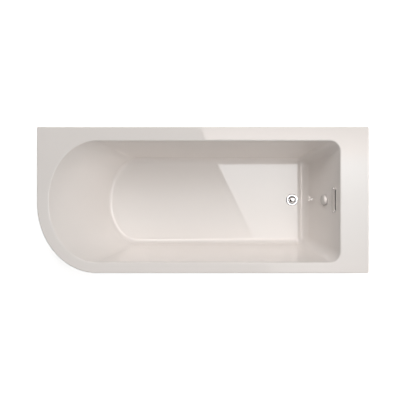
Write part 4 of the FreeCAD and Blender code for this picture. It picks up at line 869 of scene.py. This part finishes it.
for group, (seats, into, length, coat) in SCREWS.items():
    fit(group, "pan_head", [grid for seat in seats for grid in pan_screw(seat, into, length)], coat, sharp=40)

# Waste flange and its seals
# Chromed brass, turned with a dished throat and a threaded sleeve, and with a cast spider that guides the
# plug. It is screwed down through the floor into the waste body, with a rubber ring on each side.
UPPER_SEAL_THICK, LOWER_SEAL_THICK, LOWER_SEAL = 0.001, 0.003, 0.038
SEAT_Z = FLOOR_Z + UPPER_SEAL_THICK
FLANGE_RADIUS, FLANGE_RISE, FLANGE_DISH, FLANGE_BEVEL = 0.030, 0.0035, 0.0013, 0.0042
THROAT, SLEEVE, SLEEVE_END = 0.020, 0.023, SEAT_Z - 0.033
FLANGE_SECTION = [(THROAT, SLEEVE_END), (SLEEVE, SLEEVE_END), (SLEEVE, SEAT_Z), (FLANGE_RADIUS, SEAT_Z),
                  (FLANGE_RADIUS, SEAT_Z + FLANGE_RISE / 3),
                  (FLANGE_RADIUS - FLANGE_BEVEL, SEAT_Z + FLANGE_RISE),
                  (THROAT + FLANGE_DISH, SEAT_Z + FLANGE_RISE), (THROAT, SEAT_Z)]
FLANGE_ROUNDS = [0.0005, 0.0005, 0.0003, 0.0004, 0.0006, 0.0008, 0.0008, 0.0006]
SPIDER_LOW, SPIDER_BAR, SPIDER_REACH, SPIDER_ROUND = SEAT_Z - 0.024, 0.004, 0.0215, 0.0006
HUB_RADIUS, HUB_BORE = 0.008, 0.0043
RUBBER_COLOURS = ((0.018, 0.018, 0.018), (0.045, 0.045, 0.045))
WASTE = np.array([WASTE_X, 0, 0])


def washer(place, along, inner_radius, outer_radius, start, end, soft=0.0006, columns=64):
    """Flat ring between two heights: its softened rectangular section carried round."""
    section = [(inner_radius, start), (outer_radius, start), (outer_radius, end), (inner_radius, end)]
    return lathed(place, along, section, soft, columns)


flange = [lathed(WASTE, UP, FLANGE_SECTION, FLANGE_ROUNDS, columns=128, steps=5),
          washer(WASTE, UP, HUB_BORE, HUB_RADIUS, SPIDER_LOW, SPIDER_LOW + 2 * SPIDER_BAR, columns=48)]
for reach in ((SPIDER_REACH, SPIDER_BAR / 2, 0), (SPIDER_BAR / 2, SPIDER_REACH, 0)):
    spoke_low = WASTE + SPIDER_LOW * UP - reach
    flange.append(bar(spoke_low, WASTE + (SPIDER_LOW + SPIDER_BAR) * UP + reach, SPIDER_ROUND))
fit("waste_flange", "chrome", flange, chrome)
rubber = ("seal_rubber", moulded_finish("black_rubber", RUBBER_COLOURS, 0.55, 900.0))
glass_under = FLOOR_Z - GLASS_OUT
upper_seal = washer(WASTE, UP, SLEEVE + FIT, FLANGE_RADIUS - UPPER_SEAL_THICK, FLOOR_Z, SEAT_Z, soft=FIT)
lower_seal = washer(WASTE, UP, SLEEVE + FIT, LOWER_SEAL, glass_under - LOWER_SEAL_THICK, glass_under)
fit("waste_seal_upper", "ring", [upper_seal], rubber)
fit("waste_seal_lower", "ring", [lower_seal], rubber)

# Pop-up plug
# A domed chromed cap on a steel stem that slides in the spider, with a rubber disc below that closes the
# throat.
PLUG_RADIUS, PLUG_EDGE, PLUG_RISE, PLUG_EASE, PLUG_SEAL = 0.017, 0.002, 0.008, 0.0006, 0.003
PLUG_BALL = (PLUG_RADIUS ** 2 + (PLUG_RISE - PLUG_EDGE) ** 2) / 2 / (PLUG_RISE - PLUG_EDGE)
STEM_RADIUS, STEM_POINT = 0.004, 0.001
PRESS = 0.00015
INOX_COLOURS = ((0.50, 0.50, 0.51), (0.68, 0.68, 0.68))
dome_radius = PLUG_RADIUS * np.cos(np.linspace(0.06, np.pi / 2, 24))
dome_height = SEAT_Z + PLUG_RISE - PLUG_BALL + np.sqrt(PLUG_BALL ** 2 - dome_radius ** 2)
edge = [(0, SEAT_Z), (PLUG_RADIUS - PLUG_EASE, SEAT_Z), (PLUG_RADIUS - PLUG_EASE / 3, SEAT_Z + PLUG_EASE / 3),
        (PLUG_RADIUS, SEAT_Z + PLUG_EASE), (PLUG_RADIUS, SEAT_Z + PLUG_EDGE - PLUG_EASE * 2 / 3)]
cap = turned(WASTE, UP, edge + list(zip(dome_radius, dome_height)), columns=96)
fit("plug_cap", "chrome", [(cap, False, True)], chrome, "plug")
disc = washer(WASTE, UP, STEM_RADIUS + PRESS, THROAT - FIT, SEAT_Z - PLUG_SEAL, SEAT_Z)
fit("plug_seal", "disc", [disc], rubber, "plug")
stem_low, stem_high = np.array(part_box("plug_stem"))[:, 2]
stem_line = [(0, stem_low), (STEM_RADIUS - STEM_POINT, stem_low), (STEM_RADIUS, stem_low + STEM_POINT),
             (STEM_RADIUS, stem_low + STEM_POINT + FIT), (STEM_RADIUS, stem_high), (0, stem_high)]
inox = ("plug_steel", plated_finish("stainless_steel", INOX_COLOURS, 0.24))
fit("plug_stem", "steel", [(turned(WASTE, UP, stem_line, columns=40), False, True)], inox, "plug")

# Waste body and lever
# White polypropylene, injection moulded: a flanged cup under the floor with the overflow's inlet, an outlet
# and an ear for the cable. A steel lever through its side lifts the plug.
WHITE_PLASTIC = ((0.66, 0.66, 0.63), (0.78, 0.78, 0.755))
MOULD_ROUND, LEVER_ROUND = 0.0008, 0.0004
FLAT_TURN, EDGE_TURN = math.radians(0.5), math.radians(40)


def soften(node, form, width, coat, body="tub"):
    """Dressed piece from the modelled node's own mesh, its triangles welded into flats, with small rounds
    along its edges."""
    name = node + "_" + form
    work = bmesh.new()
    work.from_mesh(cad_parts[node].data)
    bmesh.ops.remove_doubles(work, verts=work.verts, dist=1e-5)
    bmesh.ops.dissolve_limit(work, angle_limit=FLAT_TURN, verts=work.verts, edges=work.edges)
    mesh = bpy.data.meshes.new(name)
    work.to_mesh(mesh)
    work.free()
    for attribute in [a for a in mesh.attributes if a.name == "custom_normal"]:
        mesh.attributes.remove(attribute)
    mesh.shade_smooth()
    mesh.set_sharp_from_angle(angle=math.radians(SHARP))
    piece = placed(name, mesh)
    rounds = piece.modifiers.new("rounds", "BEVEL")
    rounds.width = width
    rounds.segments = 2
    rounds.limit_method = "ANGLE"
    rounds.angle_limit = EDGE_TURN
    rounds.harden_normals = True
    dress(piece, coat, node, body)


polypropylene = ("waste_plastic", moulded_finish("white_polypropylene", WHITE_PLASTIC, 0.36))
soften("waste_body", "moulding", MOULD_ROUND, polypropylene)
soften("lift_lever", "steel", LEVER_ROUND, inox, "lever")

# Trap
# A moulded P-trap hung under the waste body and turned towards the back wall. Ribbed nuts draw its collar and
# the waste pipe up against rubber rings.
TRAP_RADIUS, TRAP_BORE, COLLAR_RADIUS, COLLAR = 0.021, 0.0175, 0.024, 0.004
SOCKET_RADIUS, SOCKET_BORE, SOCKET_LENGTH = 0.026, 0.0202, 0.034
TRAP_CORNERS = [(0, 0.0752), (0, 0.0272), (0.064, 0.0272), (0.064, 0.0912), (0.144, 0.0912)]
TRAP_BENDS = (0.032, 0.032, 0.026)
PIPE_STEPS, SHAFT_STEPS = 32, 90
NUT_RIBS, RIB_COLUMNS, RIB_DEPTH, RIB_EASE, RIB_REACH = 24, 6, 0.0012, 0.0008, 0.49
PIPE_NUT_LENGTH, PIPE_NUT_WALL = 0.022, 0.0043


def route(corners, bends):
    """Line through corners with a true arc at each: it leaves one run and meets the next at the same distance
    from the corner, the bend's radius times the tangent of half the turn."""
    corners = np.asarray(corners, float)
    parts = [corners[:1]]
    for before, corner, after, bend in zip(corners, corners[1:], corners[2:], bends):
        arrive, leave = unit(corner - before), unit(after - corner)
        turn = math.acos(np.clip(arrive @ leave, -1, 1))
        square = unit(leave - (leave @ arrive) * arrive)
        start = corner - arrive * bend * math.tan(turn / 2)
        sweep = np.linspace(0, turn, PIPE_STEPS + 1)[:, None]
        parts.append(start + square * bend * (1 - np.cos(sweep)) + arrive * bend * np.sin(sweep))
    return np.concatenate(parts + [corners[-1:]])


def distances_along(line):
    """How far along a line each of its points is: the lengths of its runs added up."""
    return np.r_[0, np.cumsum(np.linalg.norm(np.diff(line, axis=0), axis=1))]


def piped(line, distances, radii, square, columns):
    """Rings of given radii at distances along a flat line, square to it. The square is the plane's normal."""
    length = distances_along(line)
    distances = np.asarray(distances, float)

    def at(distance):
        """Points of the line that far along it."""
        return np.stack([np.interp(distance, length, line[:, axis]) for axis in range(3)], 1)

    small = 1e-4
    ahead = at(np.minimum(distances + small, length[-1])) - at(np.maximum(distances - small, 0))
    ahead = ahead / np.linalg.norm(ahead, axis=1, keepdims=True)
    side = np.cross(ahead, square)
    turn = once_round(columns)[:, None]
    circle = np.cos(turn) * side[:, None] + np.sin(turn) * np.asarray(square, float)
    return at(distances)[:, None] + np.asarray(radii, float)[:, None, None] * circle


def ribbed(place, along, section):
    """Fluted nut: the radius of its outermost points dips by a raised cosine of the angle."""
    columns = RIB_COLUMNS * NUT_RIBS
    section = eased(section, RIB_EASE)
    outermost = np.clip((section[:, 0] - section[:, 0].max() + RIB_DEPTH) / RIB_DEPTH, 0, 1)
    outermost[np.abs(section[:, 1] - section[:, 1].mean()) > RIB_REACH * np.ptp(section[:, 1])] = 0
    flute = 0.5 - 0.5 * np.cos(2 * np.pi * np.arange(columns) / RIB_COLUMNS)
    dip = RIB_DEPTH * outermost[:, None] * flute[None]
    grid = turned(place, along, section, columns) - dip[..., None] * circle_about(along, columns)
    return grid, True, True


def pipe_nut(place, along, neck, pipe):
    """Ribbed nut that is open for a pipe, with a narrower neck as thick as the pipe's collar."""
    bore, mouth, outside = neck + FIT, pipe + FIT, pipe + PIPE_NUT_WALL
    section = [(bore, 0), (outside, 0), (outside, PIPE_NUT_LENGTH), (mouth, PIPE_NUT_LENGTH),
               (mouth, COLLAR), (bore, COLLAR)]
    return ribbed(place, along, section)


trap_line = np.insert(route(TRAP_CORNERS, TRAP_BENDS), 0, WASTE_X, axis=1)
trap_end = distances_along(trap_line)[-1]
socket = trap_end - SOCKET_LENGTH
shaft = np.linspace(COLLAR, socket, SHAFT_STEPS)
outside = [(0, COLLAR_RADIUS), (COLLAR, COLLAR_RADIUS)] + [(s, TRAP_RADIUS) for s in shaft]
outside += [(socket, SOCKET_RADIUS), (trap_end, SOCKET_RADIUS)]
bore = [(trap_end, SOCKET_BORE), (socket + COLLAR, SOCKET_BORE), (socket + COLLAR, TRAP_BORE)]
bore += [(s, TRAP_BORE) for s in shaft[::-1]] + [(0, TRAP_BORE)]
trap_rings = piped(trap_line, *np.transpose(outside + bore), (1, 0, 0), columns=56)
fit("trap_body", "moulding", [(trap_rings, True, True)], polypropylene)

inlet_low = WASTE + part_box("trap_inlet_nut")[0][2] * UP
fit("trap_inlet_nut", "ribbed", [pipe_nut(inlet_low, UP, TRAP_RADIUS, COLLAR_RADIUS)], polypropylene)
low, high = np.array(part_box("trap_outlet_nut"))
outlet_end = np.array([WASTE_X, high[1], (low[2] + high[2]) / 2])
outlet_nut = pipe_nut(outlet_end, (0, -1, 0), SOCKET_BORE, SOCKET_RADIUS)
fit("trap_outlet_nut", "ribbed", [outlet_nut], polypropylene)
start, end = np.array(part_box("trap_seal"))[:, 2]
fit("trap_seal", "ring", [washer(WASTE, UP, TRAP_BORE, COLLAR_RADIUS, start, end)], rubber)
start, end = np.array(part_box("trap_outlet_seal"))[:, 1]
outlet_seal = washer((WASTE_X, 0, outlet_end[2]), (0, 1, 0), SOCKET_BORE + FIT, SOCKET_RADIUS, start, end)
fit("trap_outlet_seal", "ring", [outlet_seal], rubber)

# Overflow bezel and chamber
# A chromed cover over the slot in the end wall, open along its top, with a lining behind it. Two long screws
# pull it against a white moulded chamber behind, with a rubber gasket between chamber and wall.
BEZEL_ROUND, GASKET_ROUND = 0.0005, 0.0004
# The satin chrome's darker grey is the metal's own. Its warm tint is a painted reflection of the cream tub
# around the knob and the bezel.
SATIN_REFLECTION_TINTED_COLOURS = ((0.49, 0.475, 0.46), (0.55, 0.535, 0.52))
satin = ("chrome", chrome_finish("satin_chrome", 0.68, SATIN_REFLECTION_TINTED_COLOURS))
soften("overflow_bezel", "cover", BEZEL_ROUND, satin)
soften("overflow_chamber", "moulding", MOULD_ROUND, polypropylene)
soften("overflow_gasket", "rubber", GASKET_ROUND, rubber)

# Knob and its spindle
# A round chromed knob with a domed front, pressed on a steel spindle that turns in a flanged bush through the
# wall. Behind it the spindle carries a grooved winder for the cable, kept on by a collar.
KNOB_RADIUS, KNOB_BASE, KNOB_TOP, KNOB_ROUND, KNOB_EASE = 0.029, 0.0015, 0.0195, 0.014, 0.0008
SPINDLE_RADIUS, SPINDLE_LOW, SPINDLE_TOP, SPINDLE_POINT = 0.004, -0.0336, 0.0105, 0.0006
BUSH_RADIUS, BUSH_FLANGE, BUSH_FLANGE_THICK, BUSH_LOW, BUSH_EASE = 0.008, 0.014, 0.0012, -0.0173, 0.0004
BUSH_NUT_LOW, BUSH_NUT_HIGH, BUSH_NUT_ACROSS = -0.0133, -0.0083, 0.0225
WINDER_RADIUS, WINDER_LOW, WINDER_HIGH, WINDER_EASE = 0.014, -0.0256, -0.0176, 0.0005
GROOVE_DEPTH, GROOVE_FLOOR, GROOVE_MOUTH = 0.002, 0.001, 0.002
RING_RADIUS, RING_LOW = 0.007, -0.0296
knob_at = wall_points(0, KNOB_Y, 0)
press, loose = SPINDLE_RADIUS + PRESS, SPINDLE_RADIUS + FIT
turn = np.linspace(0, np.pi / 2, 15)
dome = [KNOB_RADIUS - KNOB_ROUND * (1 - np.cos(turn)), KNOB_TOP - KNOB_ROUND * (1 - np.sin(turn))]
knob_back = [(press, KNOB_BASE), (KNOB_RADIUS - KNOB_EASE, KNOB_BASE), (KNOB_RADIUS, KNOB_BASE + KNOB_EASE)]
knob_front = [(0, KNOB_TOP), (0, SPINDLE_TOP), (press, SPINDLE_TOP)]
knob = turned(knob_at, INWARD, np.concatenate([knob_back, np.transpose(dome), knob_front]), columns=96)
fit("overflow_knob", "chrome", [(knob, True, True)], satin, "knob")
bush_section = [(loose, BUSH_LOW), (BUSH_RADIUS, BUSH_LOW), (BUSH_RADIUS, 0), (BUSH_FLANGE, 0),
                (BUSH_FLANGE, BUSH_FLANGE_THICK), (loose, BUSH_FLANGE_THICK)]
fit("knob_bush", "moulding", [lathed(knob_at, INWARD, bush_section, BUSH_EASE)], polypropylene)
bush_nut = hexagon(knob_at + BUSH_NUT_LOW * INWARD, INWARD, BUSH_NUT_ACROSS,
                   BUSH_NUT_HIGH - BUSH_NUT_LOW, BUSH_RADIUS + PRESS)
fit("bush_nut", "hex", [bush_nut], polypropylene, sharp=25)
spindle_line = [(0, SPINDLE_LOW), (SPINDLE_RADIUS - SPINDLE_POINT, SPINDLE_LOW),
                (SPINDLE_RADIUS, SPINDLE_LOW + SPINDLE_POINT), (SPINDLE_RADIUS, SPINDLE_TOP),
                (0, SPINDLE_TOP)]
fit("knob_spindle", "steel", [(turned(knob_at, INWARD, spindle_line, columns=40), False, True)], zinc, "knob")
groove, groove_radius = (WINDER_LOW + WINDER_HIGH) / 2, WINDER_RADIUS - GROOVE_DEPTH
winder_section = [(press, WINDER_LOW), (WINDER_RADIUS, WINDER_LOW), (WINDER_RADIUS, groove - GROOVE_MOUTH),
                  (groove_radius, groove - GROOVE_FLOOR), (groove_radius, groove + GROOVE_FLOOR),
                  (WINDER_RADIUS, groove + GROOVE_MOUTH), (WINDER_RADIUS, WINDER_HIGH), (press, WINDER_HIGH)]
fit("cable_winder", "moulding", [lathed(knob_at, INWARD, winder_section, WINDER_EASE)], polypropylene, "knob")
ring = washer(knob_at, INWARD, press, RING_RADIUS, RING_LOW, WINDER_LOW, WINDER_EASE, columns=48)
fit("spindle_collar", "ring", [ring], zinc, "knob")

# Overflow hose and its nuts
# Grey polyethylene, corrugated so that it bends without kinking, with plain cuffs at both ends. Ribbed nuts
# join it to the waste body's inlet and to the chamber's spigot.
HOSE_RADIUS, HOSE_BORE, HOSE_RIB_DEPTH, HOSE_PITCH = 0.016, 0.0125, 0.002, 0.006
HOSE_CUFF = 2 * HOSE_RADIUS
HOSE_COLOURS = ((0.40, 0.41, 0.42), (0.55, 0.56, 0.57))
RIB_SAMPLES, BORE_SAMPLES = 10, 40
RIB_SHAPE = ((0, 0.35, 0.55, 0.8, 1), (1, 1, 0, 0, 1))
HOSE_NUT_LENGTH, HOSE_NUT_BORE, HOSE_NUT_RADIUS = 0.026, 0.0163, 0.0213
inlet, spigot = (np.mean(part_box("hose_nut_" + end), axis=0) for end in ("lower", "upper"))
hose_corners = [(inlet[0], 0, inlet[2]), (spigot[0], 0, inlet[2]), (spigot[0], 0, spigot[2])]
hose_line = route(hose_corners, [spigot[0] - inlet[0] - HOSE_CUFF])
hose_end = distances_along(hose_line)[-1]
rib_count = int((hose_end - 2 * HOSE_CUFF) / HOSE_PITCH)
rib_place = np.linspace(HOSE_CUFF, hose_end - HOSE_CUFF, rib_count * RIB_SAMPLES + 1)
rib_height = np.interp(np.arange(len(rib_place)) % RIB_SAMPLES / RIB_SAMPLES, *RIB_SHAPE)
rib_height = rib_height ** 2 * (3 - 2 * rib_height)
hose_places = np.r_[0, rib_place, hose_end, np.linspace(hose_end, 0, BORE_SAMPLES)]
hose_radii = np.r_[HOSE_RADIUS, HOSE_RADIUS - HOSE_RIB_DEPTH * (1 - rib_height), HOSE_RADIUS,
                   np.full(BORE_SAMPLES, HOSE_BORE)]
hose = piped(hose_line, hose_places, hose_radii, (0, 1, 0), columns=40)
polyethylene = ("hose_plastic", moulded_finish("grey_polyethylene", HOSE_COLOURS, 0.44))
fit("overflow_hose", "ribbed", [(hose, True, True)], polyethylene, sharp=50)
hose_nut_section = [(HOSE_NUT_BORE, 0), (HOSE_NUT_RADIUS, 0), (HOSE_NUT_RADIUS, HOSE_NUT_LENGTH),
                    (HOSE_NUT_BORE, HOSE_NUT_LENGTH)]
for end, middle, along in (("lower", inlet, np.array([1, 0, 0])), ("upper", spigot, UP)):
    hose_nut = ribbed(middle - along * HOSE_NUT_LENGTH / 2, along, hose_nut_section)
    fit("hose_nut_" + end, "ribbed", [hose_nut], polypropylene)

# Pop-up cable
# A wire in a black sheath, held at the ear of the waste body and in the chamber's gland. It carries the
# knob's turn to the lever.
CABLE_RADIUS, CABLE_BEND, CABLE_Y, CABLE_STEPS = 0.0025, 0.090, 0.034, 80
SHEATH_COLOURS = ((0.040, 0.040, 0.045), (0.085, 0.085, 0.092))
low, high = np.array(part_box("pop_up_cable"))
cable_z = low[2] + CABLE_RADIUS
cable_line = route([(low[0], CABLE_Y, cable_z), (spigot[0], CABLE_Y, cable_z), (spigot[0], CABLE_Y, high[2])],
                   [CABLE_BEND])
cable_places = np.linspace(0, distances_along(cable_line)[-1], CABLE_STEPS)
cable = piped(cable_line, cable_places, np.full(CABLE_STEPS, CABLE_RADIUS), (0, 1, 0), columns=24)
sheath = ("cable_sheath", moulded_finish("black_sheath", SHEATH_COLOURS, 0.38))
fit("pop_up_cable", "sheath", [capped(cable)], sheath)

# Floor, light and camera
# A white floor under an even sky, and four large soft lamps beyond the drain end, its corner, back and front.
# Only the gloss shows a softbox overhead with a slanting edge, a dark ceiling beside it and strips of light.
WHITE, BLACK = (1.0, 1.0, 1.0), (0.0, 0.0, 0.0)
LAMP_DISTANCE, LAMP_AIM = 8.0, np.array([0, 0, 0.4])
LAMPS = {
    "drain_lamp": (0, 60, 5.0, 128.0),
    "corner_lamp": (45, 62, 5.0, 232.0),
    "back_lamp": (110, 45, 4.6, 168.0),
    "front_lamp": (-62, 36, 4.0, 72.0),
}
SOFTBOX_EDGE = ((-0.015, 0.373), (0.354, -0.379))
SOFTBOX_Z, SOFTBOX_WIDTH, SOFTBOX_REACH = 3.2, 1.6, 1.0
CARD_REACH = 5.0
SKY = (0.135, 0.135, 0.135)
GLOW_START, GLOW_SPAN = -0.45, 1.1
SOFTBOX_GLOW = (6.4, ((-0.42, 0.42), (-0.17, 0.50), (0.0, 0.66), (0.185, 1.0),
                      (0.26, 0.87), (0.37, 0.50), (0.6, 0.35)))
CEILING_GLOW = (2.0, ((-0.42, 0.70), (-0.24, 0.92), (-0.12, 1.0), (0.0, 0.70),
                      (0.09, 0.35), (0.19, 0.12), (0.27, 0.0)))
SOFTBOX_FADE, CEILING_FADE = (0.55, 1.7), (0.62, 1.02)
STRIPS = {
    "head_strip": ((-5.3, -4.3), (-0.6, 0.6), 9.0),
    "drain_strip": ((0.95, 1.5), (-0.7, 1.0), 12.0),
    "back_strip": ((-1.4, 1.5), (0.95, 1.55), 8.0),
}
STRIP_Z = 3.1
RIM_TINT, FLOOR_TINT, TINT_CHANGE = (1.0, 0.90, 0.86), (0.935, 0.975, 1.0), 0.23
FLOOR_COLOUR, FLOOR_LIFT, FLOOR_REACH = (0.86, 0.86, 0.86, 1), 0.74, 60.0
CAMERA_CENTRE = (-0.0149, -0.0004)
FRAME_WIDTH, LENS, SENSOR = 2.0488, 1500.0, 36.0
CAMERA_HEIGHT = FRAME_WIDTH * LENS / SENSOR


def seen_ways(tree):
    """1 for rays that show the background: straight from the camera, mirrored or through glass."""
    path = tree.nodes.new("ShaderNodeLightPath")
    camera, glossy, through = (Shade(path.outputs["Is %s Ray" % way]) for way in
                               ("Camera", "Glossy", "Transmission"))
    either = camera.math("MAXIMUM", camera, glossy)
    return either.math("MAXIMUM", either, through)


def staged(name, plan, z, material):
    """Level sheet with corners in plan that belongs to the studio."""
    mesh = bpy.data.meshes.new(name)
    mesh.from_pydata([(*corner, z) for corner in plan], [], [tuple(range(len(plan)))])
    mesh.materials.append(material)
    sheet = placed(name, mesh)
    return sheet


def overhead(name, plan, z, material):
    """Sheet above the tub that the gloss alone sees."""
    sheet = staged(name, plan, z, material)
    sheet.visible_camera = sheet.visible_diffuse = sheet.visible_shadow = False


def glowing(name, strength, colour=WHITE):
    """Finish that shines and mirrors nothing."""
    return finish(name, Roughness=1.0, Specular_IOR_Level=0.0, Base_Color=(*BLACK, 1),
                  Emission_Strength=strength, Emission_Color=(*colour, 1))


for name, (azimuth, elevation, size, power) in LAMPS.items():
    turn, tilt = math.radians(azimuth), math.radians(elevation)
    ray = np.array([math.cos(tilt) * math.cos(turn), math.cos(tilt) * math.sin(turn), math.sin(tilt)])
    light = bpy.data.lights.new(name, "AREA")
    light.shape = "DISK"
    light.size = size
    light.energy = power
    lamp = placed(name, light)
    lamp.location = LAMP_AIM + LAMP_DISTANCE * ray
    lamp.rotation_euler = Vector(-ray).to_track_quat("-Z", "Y").to_euler()
    lamp.visible_camera = False

mirrored = 1 + (SOFTBOX_Z - RIM_Z) / CAMERA_HEIGHT
edge_start, edge_end = mirrored * (np.array(SOFTBOX_EDGE) - CAMERA_CENTRE) + CAMERA_CENTRE
edge_along = unit(edge_end - edge_start)
edge_across = np.array([-edge_along[1], edge_along[0]])


def card(name, reach, width, glow, fade):
    """Sheet overhead along the slanting edge, longer by a reach at both ends and a width across. Its
    brightness follows stops from front to back and fades away between two distances from the middle."""
    strength, stops = glow
    material, place = glowing(name, strength)
    from_front = place.node("ShaderNodeSeparateXYZ", {}, {"Vector": place}, 1)
    tints = [(y, FLOOR_TINT if abs(y) < TINT_CHANGE else RIM_TINT, share) for y, share in stops]
    shade = ((from_front - GLOW_START) * (1 / GLOW_SPAN)).ramp(
        [((y - GLOW_START) / GLOW_SPAN, toned(tint, share)) for y, tint, share in tints])
    flat = place.stretched((1.0, 1.0, 0.0))
    distance = flat.node("ShaderNodeVectorMath", {"operation": "LENGTH"}, {"Vector": flat}, 1)
    feed(material, Emission_Color=distance.step(*fade).blend(shade, BLACK))
    ends = [edge_start - edge_along * reach, edge_end + edge_along * reach]
    overhead(name, ends + [end + edge_across * width for end in ends[::-1]], SOFTBOX_Z, material)


card("dark_ceiling", CARD_REACH, -CARD_REACH, CEILING_GLOW, CEILING_FADE)
card("softbox", SOFTBOX_REACH, SOFTBOX_WIDTH, SOFTBOX_GLOW, SOFTBOX_FADE)
for name, (x, y, glow) in STRIPS.items():
    plan = np.mean([x, y], axis=1) + SQUARE * np.ptp([x, y], axis=1) / 2
    overhead(name, plan, STRIP_Z, glowing(name, glow, RIM_TINT)[0])

world = bpy.data.worlds.new("studio")
bpy.context.scene.world = world
world.use_nodes = True
sky = world.node_tree.nodes["Background"]
world.node_tree.links.new(seen_ways(world.node_tree).blend(SKY, WHITE).socket, sky.inputs["Color"])

floor_paint = finish("floor_paint", Roughness=0.9, Specular_IOR_Level=0.0, Base_Color=FLOOR_COLOUR,
                     Emission_Strength=FLOOR_LIFT)[0]
feed(floor_paint, Emission_Color=seen_ways(floor_paint.node_tree).blend(BLACK, WHITE))
staged("studio_floor", SQUARE * FLOOR_REACH, 0, floor_paint)

camera_data = bpy.data.cameras.new("camera")
camera_data.lens = LENS
camera_data.sensor_width = SENSOR
camera_data.clip_end = 3 * (RIM_Z + CAMERA_HEIGHT)
camera = placed("camera", camera_data)
camera.location = (*CAMERA_CENTRE, RIM_Z + CAMERA_HEIGHT)
bpy.context.scene.camera = camera
bpy.context.scene.view_settings.view_transform = "Standard"
